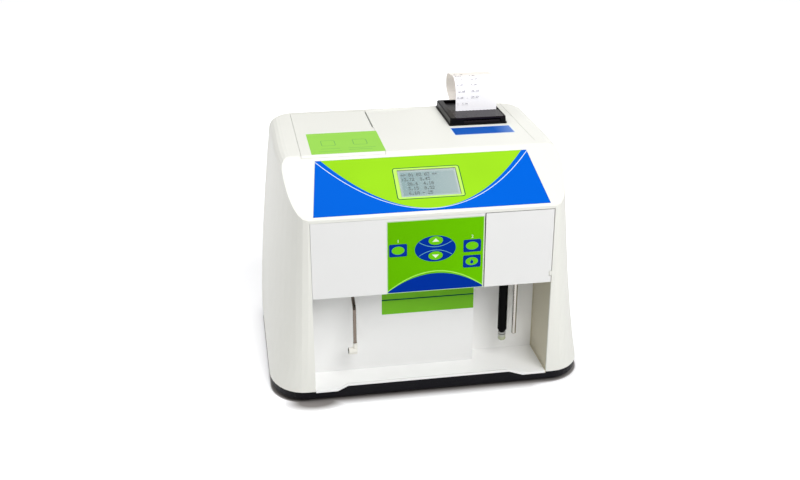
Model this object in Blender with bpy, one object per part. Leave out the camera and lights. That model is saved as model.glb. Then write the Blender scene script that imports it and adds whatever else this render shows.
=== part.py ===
"""Bench-top ultrasonic milk analyzer, built piece by piece.

X runs to the right as the user faces the device, Y to its back, Z up.
The origin lies under the middle of the device, on the bench.
Depths are counted from the front face and heights from the sill, the
underside of the sample bay's lip.
"""
import math

import bmesh
import bpy
from mathutils import Matrix, Vector

# Running room
GAP = 0.0003
SLIDE_GAP = 0.0004
RUN_FIT = 0.0001
OVERRUN = 0.001

# Body shell
BODY_WIDTH = 0.410
TOP_WIDTH = 0.364
BODY_DEPTH = 0.298
TOP_HEIGHT = 0.2845
RIM_HEIGHT = 0.0018
WALL = 0.003
TOP_ROUND = 0.015
REAR_CORNER = 0.036
RIM_SWEEP = 0.058
TOP_SWEEP = 0.158
SIDE_BULGE_POWER = 1.45
SWEEP_POWER = 2.4
SLOPE_FOOT = 0.2339
CREASE_DEPTH = 0.092

# Front gate, which the bay, the panel and the door fill, and the flat front beside it
GATE_WIDTH = 0.3006
GATE_TOP = 0.2302
RIM_SHOULDER = 0.0097
TOP_SHOULDER = 0.0002

# Base pan and feet
FOOT_HEIGHT = 0.004
FOOT_RADIUS = 0.010
FOOT_DIMPLE = 0.004
FOOT_INSET_X = 0.047
FOOT_INSET_Y = 0.032
BASE_HEIGHT = 0.0094
BASE_INSET = 0.0008
BASE_CHAMFER = 0.002
BASE_FLOOR = 0.0025
TONGUE_GAP = 0.0004
TONGUE = 0.002
TONGUE_RISE = 0.005
ARCH_RISE = 0.0065
ARCH_FOOT_LEFT = 0.1225
ARCH_TOP_LEFT = 0.109
ARCH_TOP_RIGHT = 0.1005
ARCH_FOOT_RIGHT = 0.119
POST_RADIUS = 0.004
VENT_LENGTH = 0.040
VENT_WIDTH = 0.003
VENT_PITCH = 0.008
VENT_COUNT = 6
VENT_X = 0.085

# Sample bay
BAY_WALL = 0.0025
BAY_FLOOR = 0.003
BAY_FRONT = 0.0034
BAY_DEPTH = 0.0463
PROBE_BAY_DEPTH = 0.071
BAY_STEP_X = 0.0627
BAY_TOP = 0.226
LIP_DEPTH = 0.014
LIP_UNDERCUT = 0.0030

# Front panel and probe door
PANEL_BOTTOM = 0.1312
PANEL_THICK = 0.003
RIB_DEPTH = 0.006
RIB_THICK = 0.002
BOSS_RADIUS = 0.0035
BOSS_INSET = 0.016
SLIT_X = 0.0630
SLIT_WIDTH = 0.0011
HINGE_RADIUS = 0.0015
PIN_RADIUS = 0.0007
PIN_BORE = PIN_RADIUS + RUN_FIT
KNUCKLE_BOTTOM = 0.1400
KNUCKLE_HEIGHT = 0.0060
KNUCKLE_GAP = 0.0005

# Keypad
KEYPAD_LEFT = 0.0580
KEYPAD_RIGHT = 0.0615
KEYPAD_TOP = 0.2262
KEYPAD_POCKET = 0.0010
KEYPAD_SHEET = 0.0006
SHEET_SINK = 0.0001
KEY_ROW = 0.1883
KEY_WIDTH = 0.0216
KEY_HEIGHT = 0.0160
KEY_CORNER = 0.0015
KEY_THICK = 0.0010
KEY_TRAVEL = 0.0004
MODE_KEY_X = -0.0447
SIDE_KEY_X = 0.0470
CLEAN_KEY_HEIGHT = 0.1675
ARROW_KEY_X = 0.0016
ARROW_SPREAD = 0.0099
ARROW_WIDTH = 0.0178
ARROW_HEIGHT = 0.0114
STEM_RADIUS = 0.0020
STEM_BORE = 0.0026
STEM_LENGTH = 0.0045
SWITCH_SIZE = 0.0045
SWITCH_BODY = 0.0016
BOARD_THICK = 0.0016
BOARD_MARGIN = 0.004

# Display on the slope, with places counted up the slope from its foot
DISPLAY_LOW = 0.0050
DISPLAY_HIGH = 0.0944
DISPLAY_LOW_WIDTH = 0.2902
DISPLAY_HIGH_WIDTH = 0.2688
DISPLAY_SHEET = 0.0006
DISPLAY_POCKET = 0.0009
WINDOW_X = 0.0012
WINDOW_WIDTH = 0.0742
WINDOW_LOW = 0.0277
WINDOW_HIGH = 0.0720
WINDOW_THICK = 0.0010
MODULE_MARGIN = 0.008
MODULE_THICK = 0.009

# Service hatch over the pump
HATCH_LEFT = 0.1510
HATCH_RIGHT = 0.0450
HATCH_FRONT = 0.0875
HATCH_REAR_MARGIN = 0.0190
HATCH_SLOT_LENGTH = 0.0785
HATCH_SLOT_END = 0.0050
HATCH_SLOT_WIDTH = 0.0016
SEAM_X = 0.1515
SEAM_FRONT = 0.104
SEAM_WIDTH = 0.0007
SEAM_DEPTH = 0.0005
SCOOP_X = -0.010
SCOOP_REACH = 0.036
SCOOP_DEPTH = 0.0016
SCOOP_HALF = 0.010

# Pump compartment and peristaltic pump
TUB_WALL = 0.002
TUB_DEPTH = 0.074
TUB_FLANGE = 0.005
TUB_FRONT_MARGIN = 0.0165
TUB_REAR_MARGIN = 0.0170
TRACK_RADIUS = 0.0255
TRACK_WALL = 0.006
TRACK_HEIGHT = 0.016
PUMP_PLATE = 0.004
HOSE_BORE_GAP = 0.0003
PUMP_HOSE_THICK = 0.0028
PUMP_HOSE_HIGH = 0.0068
PUMP_LEG = 0.040
ROLLER_RADIUS = 0.0052
ROLLER_PIN = 0.0016
ROLLER_BORE = ROLLER_PIN + RUN_FIT
ROLLER_COUNT = 3
DISC_THICK = 0.0022
HUB_RADIUS = 0.0065
KNOB_RADIUS = 0.0085
KNOB_HEIGHT = 0.007
SHAFT_RADIUS = 0.0030
SHAFT_CLEAR = 0.0005
MOTOR_RADIUS = 0.0185
MOTOR_LENGTH = 0.048
GEARBOX_LENGTH = 0.018

# Printer
PRINTER_X = 0.0963
PRINTER_WIDTH = 0.0800
PRINTER_LENGTH = 0.0966
PRINTER_REAR_MARGIN = 0.0184
PRINTER_FLANGE = 0.0016
PRINTER_RISE = 0.0104
PRINTER_MARGIN = 0.0020
PRINTER_WALL = 0.0022
PRINTER_CORNER = 0.0025
PAPER_X = 0.1020
PAPER_WIDTH = 0.0575
PAPER_THICK = 0.0003
PAPER_STAND = 0.0322
PAPER_FRONT_CURL = 0.0208
PAPER_CROWN_CURL = 0.1350
PAPER_REAR_CURL = 0.0157
PAPER_TAIL = 0.0160
PAPER_SWEEPS = (89.0, 14.0, 146.0)
SLOT_SETBACK = 0.0395
WELL_LEFT = 0.0360
WELL_RIGHT = 0.0312
COVER_SINK = 0.0006
COVER_THICK = 0.0025
NOTCH_WIDTH = 0.051
COVER_FRONT = 0.0026
RELEASE_TRAVEL = 0.0015
RELEASE_HEIGHT = 0.0022
RELEASE_DEPTH = 0.0036
DOOR_SINK = 0.0030
DOOR_THICK = 0.0022
DOOR_REAR_MARGIN = 0.0076
PLATEN_RADIUS = 0.0050
PLATEN_DROP = 0.0090
PLATEN_SHAFT = 0.0015
ARM_THICK = 0.0018
HEAD_THICK = 0.0016
HEAD_HEIGHT = 0.012
TEAR_TEETH = 12
GEAR_MODULE = 0.0008
PLATEN_TEETH = 14
DRIVE_TEETH = 20
GEAR_WIDTH = 0.0020
GEAR_BACKLASH = 0.0002
ROLL_RADIUS = 0.0170
ROLL_CORE = 0.0060
BIN_WALL = 0.0018
BIN_DEPTH = 0.048

# Sample tube and probes
TUBE_X = -0.0963
TUBE_RADIUS = 0.0022
TUBE_DEPTH = 0.0250
TUBE_EXIT = 0.1110
TUBE_BEND = 0.1035
TUBE_END = 0.0500
TUBE_BEND_REACH = 0.005
TIP_RADIUS = 0.0046
TIP_BORE = 0.0024
TIP_REACH = 0.0090
TIP_HEEL = 0.0023
TIP_NECK = 0.0029
TIP_LOW = 0.0380
TIP_HIGH = 0.0540
PROBE_DEPTH = 0.045
PH_OFFSET = 0.0050
PH_RADIUS = 0.0060
PH_END = 0.0430
PH_CHAMFER = 0.0035
PH_GUARD_END = 0.0305
PH_GUARD_RADIUS = 0.0050
PH_BULB = 0.0034
TEMP_OFFSET = 0.0110
TEMP_RADIUS = 0.0030
TEMP_END = 0.0370
HOLDER_HEIGHT = 0.152
HOLDER_THICK = 0.004
HOLDER_FRONT = 0.030
HOLDER_MARGIN = 0.008
CAP_RADIUS = 0.0085
CAP_HEIGHT = 0.022
TEMP_CAP_RADIUS = 0.0055
LEAD_RADIUS = 0.0016
LEAD_RISE = 0.018
LEAD_BEND = 0.016
LEAD_BEHIND = 0.022
PLUG_SIZE = 0.005

# Rear panel
REAR_WIDTH = 0.260
REAR_TOP = 0.150
REAR_OPEN_INSET = 0.006
REAR_OPEN_BOTTOM = 0.014
REAR_CORNER_CUT = 0.006
SHEET = 0.0020
INLET_X = 0.092
INLET_HEIGHT = 0.060
INLET_WIDTH = 0.0275
INLET_TALL = 0.0200
INLET_CORNER = 0.004
INLET_FLANGE = 0.004
INLET_LIP = 0.0018
INLET_BODY = 0.024
INLET_MOUTH = 0.017
INLET_PIN = 0.0010
SWITCH_X = 0.045
ROCKER_WIDTH = 0.0115
ROCKER_TALL = 0.0200
ROCKER_ANGLE = 9.0
SERIAL_X = -0.005
SERIAL_WIDTH = 0.0310
SERIAL_TALL = 0.0125
SERIAL_SHELL = 0.0170
SERIAL_SHELL_TALL = 0.0084
FAN_X = -0.078
FAN_HEIGHT = 0.082
FAN_SIZE = 0.060
FAN_THICK = 0.015
FAN_BORE = 0.028
FAN_HUB = 0.012
FAN_BLADES = 7
FAN_GRILLE_SLOTS = 9
FAN_SLOT = 0.0036
FAN_BAR = 0.0022

# Inside
MAIN_BOARD_X = -0.055
MAIN_BOARD_REAR = 0.0930
MAIN_BOARD_WIDTH = 0.150
MAIN_BOARD_LENGTH = 0.100
STANDOFF = 0.008
SUPPLY_SIDE = 0.0850
SUPPLY_REAR = 0.1080
SUPPLY_WIDTH = 0.070
SUPPLY_LENGTH = 0.110
SUPPLY_TALL = 0.038
CELL_X = 0.000
CELL_DEPTH = 0.088
CELL_WIDTH = 0.056
CELL_LENGTH = 0.036
CELL_TALL = 0.040
CELL_STAND = 0.070
TRANSDUCER_RADIUS = 0.009
TRANSDUCER_LENGTH = 0.007
HOSE_RADIUS = 0.0030
HOSE_BEND = 0.026
HOSE_LEAD = 0.016

# Worked out from the sizes above
FRONT = -BODY_DEPTH / 2
SILL = FOOT_HEIGHT + BASE_HEIGHT
RIM_FLAT = GATE_WIDTH + 2 * RIM_SHOULDER
TOP_FLAT = GATE_WIDTH + 2 * TOP_SHOULDER
SHOULDER = TOP_HEIGHT - TOP_ROUND
SLOPE_ANGLE = math.atan2(TOP_HEIGHT - SLOPE_FOOT, CREASE_DEPTH)
HINGE_X = GATE_WIDTH / 2 - HINGE_RADIUS - SLIDE_GAP
PROBE_BAY_X = (BAY_STEP_X + GATE_WIDTH / 2) / 2
PH_X = PROBE_BAY_X - PH_OFFSET
TEMP_X = PROBE_BAY_X + TEMP_OFFSET
HATCH_REAR = BODY_DEPTH - HATCH_REAR_MARGIN
TUB_FRONT = HATCH_FRONT + TUB_FRONT_MARGIN
TUB_REAR = HATCH_REAR - TUB_REAR_MARGIN
PUMP_DEPTH = (TUB_FRONT + TUB_REAR) / 2
PRINTER_REAR = BODY_DEPTH - PRINTER_REAR_MARGIN
PRINTER_FRONT = PRINTER_REAR - PRINTER_LENGTH
SLOT_DEPTH = PRINTER_FRONT + SLOT_SETBACK
DOOR_REAR = PRINTER_REAR - DOOR_REAR_MARGIN
MAIN_BOARD_DEPTH = BODY_DEPTH - MAIN_BOARD_REAR
SUPPLY_X = BODY_WIDTH / 2 - SUPPLY_SIDE
SUPPLY_DEPTH = BODY_DEPTH - SUPPLY_REAR
ROLLER_ORBIT = TRACK_RADIUS - PUMP_HOSE_THICK - 2 * HOSE_BORE_GAP - ROLLER_RADIUS

CHEEK_STEPS = 9
CORNER_STEPS = 6
SIDE_LEVELS = 8
ROUND_STEPS = 5
PAPER_STEP_ANGLE = 14.0


def back(depth):
    """The Y of a place that lies depth behind the front face."""
    return FRONT + depth


def up(height):
    """The Z of a place that lies height above the sill."""
    return SILL + height


# Making shapes

def material(name, colour, roughness, metallic=0.0, alpha=1.0):
    made = bpy.data.materials.new(name)
    made.use_nodes = True
    shader = made.node_tree.nodes["Principled BSDF"]
    shader.inputs["Base Color"].default_value = (*colour, 1.0)
    shader.inputs["Roughness"].default_value = roughness
    shader.inputs["Metallic"].default_value = metallic
    shader.inputs["Alpha"].default_value = alpha
    made.diffuse_color = (*colour, alpha)
    return made


def loft(rings, closed=False):
    """Skins equal rings of points, with end caps unless the rings close on themselves."""
    shape = bmesh.new()
    rows = [[shape.verts.new(point) for point in ring] for ring in rings]
    count = len(rows[0])
    pairs = list(zip(rows, rows[1:]))
    if closed:
        pairs.append((rows[-1], rows[0]))
    for low, high in pairs:
        for i in range(count):
            j = (i + 1) % count
            shape.faces.new((low[i], low[j], high[j], high[i]))
    if not closed:
        shape.faces.new(rows[0])
        shape.faces.new(rows[-1])
    bmesh.ops.remove_doubles(shape, verts=shape.verts, dist=1e-7)
    bmesh.ops.recalc_face_normals(shape, faces=shape.faces)
    return shape


def on_axis(axis, u, v, along):
    """Puts plane place u, v at a distance along the named axis."""
    return {"X": (along, u, v), "Y": (u, along, v), "Z": (u, v, along)}[axis]


def prism(axis, outline, low, high):
    return loft([[on_axis(axis, u, v, along) for u, v in outline] for along in (low, high)])


def box(low, high):
    (x0, y0, z0), (x1, y1, z1) = low, high
    return prism("Z", [(x0, y0), (x1, y0), (x1, y1), (x0, y1)], z0, z1)


def circle(u, v, radius, sides, tall=None):
    tall = radius if tall is None else tall
    turns = [math.tau * (i + 0.5) / sides for i in range(sides)]
    return [(u + radius * math.cos(t), v + tall * math.sin(t)) for t in turns]


def rod(axis, u, v, radius, low, high, sides=16):
    return prism(axis, circle(u, v, radius, sides), low, high)


def turned(axis, u, v, profile, sides=20, closed=False):
    """Turns a profile of (radius, distance along the axis) places about the axis."""
    rings = [[on_axis(axis, a, b, along) for a, b in circle(u, v, radius, sides)]
             for radius, along in profile]
    return loft(rings, closed)


def round_box(u0, v0, u1, v1, radius, steps=3):
    """Outline of a rectangle with rounded corners."""
    points = []
    corners = [(u1 - radius, v0 + radius, -90), (u1 - radius, v1 - radius, 0),
               (u0 + radius, v1 - radius, 90), (u0 + radius, v0 + radius, 180)]
    for u, v, start in corners:
        for i in range(steps + 1):
            turn = math.radians(start + 90 * i / steps)
            points.append((u + radius * math.cos(turn), v + radius * math.sin(turn)))
    return points


def together(*shapes):
    """Gathers shapes that don't touch each other into one."""
    whole = bmesh.new()
    for shape in shapes:
        part = bpy.data.meshes.new("part")
        shape.to_mesh(part)
        shape.free()
        whole.from_mesh(part)
        bpy.data.meshes.remove(part)
    return whole


def moved(shape, matrix):
    bmesh.ops.transform(shape, matrix=matrix, verts=shape.verts)
    return shape


def solid(name, shape, finish, pivot=None, smooth=None):
    """Makes a named sub-part, with its origin on its joint's axis where it has one."""
    mesh = bpy.data.meshes.new(name)
    if pivot is not None:
        moved(shape, Matrix.Translation(-Vector(pivot)))
    shape.to_mesh(mesh)
    shape.free()
    mesh.materials.append(finish)
    made = bpy.data.objects.new(name, mesh)
    bpy.context.scene.collection.objects.link(made)
    if pivot is not None:
        made.location = pivot
    if smooth is not None:
        mesh.shade_smooth()
        mesh.set_sharp_from_angle(angle=math.radians(smooth))
    return made


def boolean(target, shape, operation):
    tool = solid(f"{target.name}_tool_{len(target.modifiers)}", shape, GUIDE)
    tool.hide_render = True
    tool.display_type = "WIRE"
    step = target.modifiers.new(operation.title(), "BOOLEAN")
    step.operation = operation
    step.object = tool
    return tool


def cut(target, *shapes):
    return boolean(target, together(*shapes), "DIFFERENCE")


def add(target, *shapes):
    return boolean(target, together(*shapes), "UNION")


def tube(name, points, radius, finish, sides_level=2):
    """A round tube along a smooth run of points."""
    curve = bpy.data.curves.new(name, "CURVE")
    curve.dimensions = "3D"
    curve.bevel_depth = radius
    curve.bevel_resolution = sides_level
    curve.use_fill_caps = True
    line = curve.splines.new("POLY")
    line.points.add(len(points) - 1)
    for point, place in zip(line.points, points):
        point.co = (*place, 1.0)
    curve.materials.append(finish)
    made = bpy.data.objects.new(name, curve)
    bpy.context.scene.collection.objects.link(made)
    return made


def bent_run(corners, reach, steps=3):
    """Points on a run of straight legs whose corners are rounded from a reach before them."""
    corners = [Vector(corner) for corner in corners]
    run = [corners[0]]
    for before, corner, after in zip(corners, corners[1:], corners[2:]):
        room = min(reach, (corner - before).length / 2, (after - corner).length / 2)
        start = corner + (before - corner).normalized() * room
        end = corner + (after - corner).normalized() * room
        for i in range(steps + 1):
            share = i / steps
            run.append(start.lerp(corner, share).lerp(corner.lerp(end, share), share))
    run.append(corners[-1])
    return [place for place, last in zip(run, [None] + run)
            if last is None or (place - last).length > GAP]


def gear_outline(u, v, teeth, phase):
    """Outline of a spur gear with straight-sided teeth."""
    pitch = GEAR_MODULE * teeth / 2
    tip, root = pitch + GEAR_MODULE, pitch - 1.25 * GEAR_MODULE
    slack = GEAR_BACKLASH / pitch
    step = math.tau / teeth
    points = []
    for i in range(teeth):
        middle = phase + i * step
        for radius, half_share in ((root, 0.34), (tip, 0.11), (tip, -0.11), (root, -0.34)):
            half = half_share * step - math.copysign(slack / 2, half_share)
            turn = middle - half
            points.append((u + radius * math.cos(turn), v + radius * math.sin(turn)))
    return points


# Body shell

def rise_share(height):
    return min(max((height - RIM_HEIGHT) / (SHOULDER - RIM_HEIGHT), 0.0), 1.0)


def half_width(height):
    return BODY_WIDTH / 2 - (BODY_WIDTH - TOP_WIDTH) / 2 * rise_share(height) ** SIDE_BULGE_POWER


def body_ring(height, inset, z=None):
    """The shell's plan outline at a height, drawn in by an inset."""
    share = rise_share(height)
    half = half_width(height) - inset
    flat = (RIM_FLAT + (TOP_FLAT - RIM_FLAT) * share) / 2
    sweep = RIM_SWEEP + (TOP_SWEEP - RIM_SWEEP) * (1 - (1 - share) ** SWEEP_POWER) - inset
    corner = REAR_CORNER - inset
    right = []
    for i in range(CHEEK_STEPS + 1):
        turn = math.radians(90 * i / CHEEK_STEPS)
        right.append((flat + (half - flat) * math.sin(turn),
                      back(inset) + sweep * (1 - math.cos(turn))))
    for i in range(CORNER_STEPS + 1):
        turn = math.radians(90 * i / CORNER_STEPS)
        right.append((half - corner + corner * math.cos(turn),
                      back(BODY_DEPTH - inset) - corner + corner * math.sin(turn)))
    level = up(height) if z is None else z
    ring = right + [(-x, y) for x, y in reversed(right)]
    return [(x, y, level) for x, y in ring]


def slope_place(run, out=0.0):
    """Depth and height of a place up the slope, and out from it."""
    return (run * math.cos(SLOPE_ANGLE) - out * math.sin(SLOPE_ANGLE),
            SLOPE_FOOT + run * math.sin(SLOPE_ANGLE) + out * math.cos(SLOPE_ANGLE))


def slope_block(outline, low, high):
    """A prism that stands on the slope; its outline is in X and run up the slope."""
    rings = []
    for out in (low, high):
        ring = []
        for x, run in outline:
            depth, height = slope_place(run, out)
            ring.append((x, back(depth), up(height)))
        rings.append(ring)
    return loft(rings)


def wedge(inset):
    """What the slope takes off the front of the shell."""
    reach = CREASE_DEPTH + WALL
    half = BODY_WIDTH / 2
    long = 2 * reach
    return slope_block([(-half, -reach), (half, -reach), (half, long), (-half, long)],
                       -inset, reach)


def shell_loft(inset, bottom, levels, steps):
    """The shell's outside, or its inside when inset by the wall."""
    span = SHOULDER - RIM_HEIGHT
    rings = [body_ring(RIM_HEIGHT, inset, up(bottom)),
             body_ring(RIM_HEIGHT + TONGUE_RISE, inset)]
    for i in range(1, levels + 1):
        rings.append(body_ring(RIM_HEIGHT + span * i / levels, inset))
    round_size = TOP_ROUND - inset
    for i in range(1, steps + 1):
        turn = math.radians(90 * i / steps)
        rings.append(body_ring(SHOULDER, inset + round_size * (1 - math.cos(turn)),
                               up(SHOULDER + round_size * math.sin(turn))))
    return loft(rings)


def make_housing():
    housing = solid("housing", shell_loft(0.0, RIM_HEIGHT, SIDE_LEVELS, ROUND_STEPS), WHITE,
                    smooth=30)
    cut(housing, wedge(0.0))
    hollow = cut(housing, shell_loft(WALL, RIM_HEIGHT - OVERRUN, SIDE_LEVELS // 2,
                                     ROUND_STEPS // 2))
    cut(hollow, wedge(WALL))
    half = GATE_WIDTH / 2
    cut(housing, box((-half, back(-OVERRUN), up(-OVERRUN)),
                     (half, back(WALL + OVERRUN), up(GATE_TOP))))
    cut(housing, display_pocket())
    cut(housing, display_opening())
    cut(housing, hatch_opening(), printer_opening(), rear_opening())
    cut(housing, seam_groove(), scoop())
    cut(housing, hatch_pin_bore())
    add(housing, door_knuckle())
    cut(housing, door_pin_bore())
    return housing


def display_outline(room):
    low, high = DISPLAY_LOW_WIDTH / 2 + room, DISPLAY_HIGH_WIDTH / 2 + room
    return [(-low, DISPLAY_LOW - room), (low, DISPLAY_LOW - room),
            (high, DISPLAY_HIGH + room), (-high, DISPLAY_HIGH + room)]


def window_outline(room):
    half = WINDOW_WIDTH / 2 + room
    return round_box(WINDOW_X - half, WINDOW_LOW - room, WINDOW_X + half,
                     WINDOW_HIGH + room, room + OVERRUN)


def display_pocket():
    return slope_block(display_outline(GAP), -DISPLAY_POCKET, OVERRUN)


def display_opening():
    return slope_block(window_outline(GAP), -2 * WALL, OVERRUN)


def hatch_opening():
    return box((-HATCH_LEFT, back(HATCH_FRONT), up(TOP_HEIGHT - 4 * WALL)),
               (-HATCH_RIGHT, back(HATCH_REAR + SLIDE_GAP), up(TOP_HEIGHT + OVERRUN)))


def printer_opening():
    left, right = well_sides()
    return box((left - PRINTER_WALL, back(PRINTER_FRONT + PRINTER_MARGIN + PRINTER_WALL),
                up(TOP_HEIGHT - 2 * WALL)),
               (right + PRINTER_WALL, back(PRINTER_REAR - PRINTER_MARGIN),
                up(TOP_HEIGHT + OVERRUN)))


def rear_opening():
    half = REAR_WIDTH / 2 - REAR_OPEN_INSET
    outline = round_box(-half, up(REAR_OPEN_BOTTOM), half, up(REAR_TOP - REAR_OPEN_INSET),
                        REAR_CORNER_CUT)
    return prism("Y", outline, back(BODY_DEPTH - 2 * WALL), back(BODY_DEPTH + OVERRUN))


def seam_groove():
    half = SEAM_WIDTH / 2
    rear = BODY_DEPTH - TOP_ROUND
    return box((SEAM_X - half, back(SEAM_FRONT), up(TOP_HEIGHT - SEAM_DEPTH)),
               (SEAM_X + half, back(rear), up(TOP_HEIGHT + OVERRUN)))


def scoop():
    """A shallow finger scoop at the rear of the top, part of a long flat ball."""
    tall = 4 * SCOOP_DEPTH
    middle = up(TOP_HEIGHT + tall - SCOOP_DEPTH)
    shape = bmesh.new()
    bmesh.ops.create_uvsphere(shape, u_segments=20, v_segments=20, radius=1.0)
    widen = 1 / math.sqrt(1 - (1 - SCOOP_DEPTH / tall) ** 2)
    place = Vector((SCOOP_X, back(BODY_DEPTH - TOP_ROUND - SCOOP_HALF), middle))
    size = Matrix.Diagonal((SCOOP_REACH * widen, SCOOP_HALF * widen, tall, 1.0))
    return moved(shape, Matrix.Translation(place) @ size)


def hatch_axis():
    return HATCH_REAR - HINGE_RADIUS, TOP_HEIGHT - HINGE_RADIUS


def hatch_pin_bore():
    depth, height = hatch_axis()
    reach = HATCH_RIGHT - 3 * HINGE_RADIUS
    return rod("X", back(depth), up(height), PIN_BORE,
               -HATCH_LEFT - 3 * HINGE_RADIUS, -reach, sides=10)


def door_knuckle():
    """The fixed knuckle on the cheek, which the door turns about."""
    low, high = up(KNUCKLE_BOTTOM), up(KNUCKLE_BOTTOM + KNUCKLE_HEIGHT)
    depth = HINGE_RADIUS
    arc = [(HINGE_X + HINGE_RADIUS * math.cos(math.radians(t)),
            back(depth) + HINGE_RADIUS * math.sin(math.radians(t)))
           for t in range(60, 301, 30)]
    web = GATE_WIDTH / 2 + OVERRUN
    half = HINGE_RADIUS * math.sin(math.radians(60))
    outline = [(web, back(depth) + half)] + arc + [(web, back(depth) - half)]
    return prism("Z", outline, low, high)


def door_pin_bore():
    return rod("Z", HINGE_X, back(HINGE_RADIUS), PIN_BORE, up(PANEL_BOTTOM),
               up(GATE_TOP + HINGE_RADIUS), sides=10)


# Base pan and feet

def make_base():
    rim = up(RIM_HEIGHT) - GAP
    tongue_out = WALL + TONGUE_GAP
    tongue_in = tongue_out + TONGUE
    floor = FOOT_HEIGHT + BASE_FLOOR
    base = solid("base_pan", loft([
        body_ring(RIM_HEIGHT, BASE_INSET + BASE_CHAMFER, FOOT_HEIGHT),
        body_ring(RIM_HEIGHT, BASE_INSET, FOOT_HEIGHT + BASE_CHAMFER),
        body_ring(RIM_HEIGHT, BASE_INSET, rim),
        body_ring(RIM_HEIGHT, tongue_out, rim),
        body_ring(RIM_HEIGHT + TONGUE_RISE, tongue_out, rim + TONGUE_RISE)]), BLACK, smooth=30)
    cut(base, loft([body_ring(RIM_HEIGHT, tongue_in, floor),
                    body_ring(RIM_HEIGHT, tongue_in, rim),
                    body_ring(RIM_HEIGHT + TONGUE_RISE, tongue_in, rim + TONGUE_RISE),
                    body_ring(RIM_HEIGHT + TONGUE_RISE, tongue_in,
                              rim + TONGUE_RISE + OVERRUN)]))
    half = GATE_WIDTH / 2 + BAY_WALL + SLIDE_GAP
    cut(base, box((-half, back(-OVERRUN), up(0) - GAP),
                  (half, back(PROBE_BAY_DEPTH + BAY_WALL), up(TONGUE_RISE + BAY_FLOOR))))
    side = REAR_WIDTH / 2 + SLIDE_GAP
    cut(base, box((-side, back(BODY_DEPTH - WALL - SHEET - 2 * GAP), floor + OVERRUN),
                  (side, back(BODY_DEPTH - WALL), up(TONGUE_RISE + BAY_FLOOR))))
    add(base, arch_block())
    add(base, *base_posts(floor))
    cut(base, *base_vents())
    cut(base, *foot_rivet_bores())
    return base


def arch_block():
    """The front wall that shows under the raised middle of the bay's lip."""
    low = up(0) - BASE_HEIGHT / 3
    top = up(ARCH_RISE) - GAP
    room = GAP * 3
    outline = [(-ARCH_FOOT_LEFT + room, low), (ARCH_FOOT_RIGHT - room, low),
               (ARCH_FOOT_RIGHT - room, up(0) - GAP), (ARCH_TOP_RIGHT - room, top),
               (-ARCH_TOP_LEFT + room, top), (-ARCH_FOOT_LEFT + room, up(0) - GAP)]
    start = BASE_INSET + GAP / 3
    return prism("Y", outline, back(start), back(LIP_UNDERCUT) - GAP)


def bay_post_places():
    rear_left = BAY_DEPTH - BAY_FRONT
    return [(-GATE_WIDTH / 3, rear_left), (0.0, rear_left),
            (GATE_WIDTH / 3, PROBE_BAY_DEPTH - BAY_FRONT)]


def board_stand_places():
    side, deep = MAIN_BOARD_WIDTH / 2 - POST_RADIUS, MAIN_BOARD_LENGTH / 2 - POST_RADIUS
    return [(MAIN_BOARD_X + sx * side, MAIN_BOARD_DEPTH + sy * deep)
            for sx in (-1, 1) for sy in (-1, 1)]


def base_posts(floor):
    start = floor - BASE_FLOOR / 2
    posts = [rod("Z", x, back(depth), POST_RADIUS, start, up(0) - GAP, sides=8)
             for x, depth in bay_post_places()]
    posts += [rod("Z", x, back(depth), POST_RADIUS, start, floor + STANDOFF, sides=8)
              for x, depth in board_stand_places()]
    posts.append(box((CELL_X - CELL_WIDTH / 4, back(CELL_DEPTH - CELL_LENGTH / 4), start),
                     (CELL_X + CELL_WIDTH / 4, back(CELL_DEPTH + CELL_LENGTH / 4),
                      floor + CELL_STAND)))
    return posts


def base_vents():
    slots = []
    for side in (-1, 1):
        for i in range(VENT_COUNT):
            x = side * VENT_X + (i - (VENT_COUNT - 1) / 2) * VENT_PITCH
            outline = [(x - VENT_WIDTH / 2, back(SUPPLY_DEPTH - VENT_LENGTH / 2)),
                       (x + VENT_WIDTH / 2, back(SUPPLY_DEPTH - VENT_LENGTH / 2)),
                       (x + VENT_WIDTH / 2, back(SUPPLY_DEPTH + VENT_LENGTH / 2)),
                       (x - VENT_WIDTH / 2, back(SUPPLY_DEPTH + VENT_LENGTH / 2))]
            slots.append(prism("Z", outline, FOOT_HEIGHT - OVERRUN,
                               FOOT_HEIGHT + BASE_FLOOR + OVERRUN))
    return slots


def foot_places():
    side = BODY_WIDTH / 2 - FOOT_INSET_X
    return {"front_left": (-side, FOOT_INSET_Y), "front_right": (side, FOOT_INSET_Y),
            "rear_left": (-side, BODY_DEPTH - FOOT_INSET_Y),
            "rear_right": (side, BODY_DEPTH - FOOT_INSET_Y)}


def foot_rivet_bores():
    return [rod("Z", x, back(depth), FOOT_DIMPLE / 2 + GAP, FOOT_HEIGHT - OVERRUN,
                FOOT_HEIGHT + BASE_FLOOR + OVERRUN, sides=10)
            for x, depth in foot_places().values()]


def make_feet():
    """Rubber feet with a rivet stem up into the pan and a dimple underneath."""
    top = FOOT_HEIGHT - GAP
    for name, (x, depth) in foot_places().items():
        profile = [(FOOT_DIMPLE / 2, FOOT_HEIGHT / 2), (FOOT_DIMPLE, 0.0),
                   (FOOT_RADIUS - FOOT_HEIGHT / 4, 0.0), (FOOT_RADIUS, FOOT_HEIGHT / 2),
                   (FOOT_RADIUS, top), (FOOT_DIMPLE / 2, top),
                   (FOOT_DIMPLE / 2, top + BASE_FLOOR)]
        solid(f"foot_{name}", turned("Z", x, back(depth), profile, sides=14), RUBBER, smooth=30)


# Sample bay

def bay_plan(grow, front):
    """Plan outline of the bay's room, grown outwards by the wall's thickness."""
    half = GATE_WIDTH / 2 + grow
    step = BAY_STEP_X - grow
    return [(-half, back(front)), (half, back(front)), (half, back(PROBE_BAY_DEPTH + grow)),
            (step, back(PROBE_BAY_DEPTH + grow)), (step, back(BAY_DEPTH + grow)),
            (-half, back(BAY_DEPTH + grow))]


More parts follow.
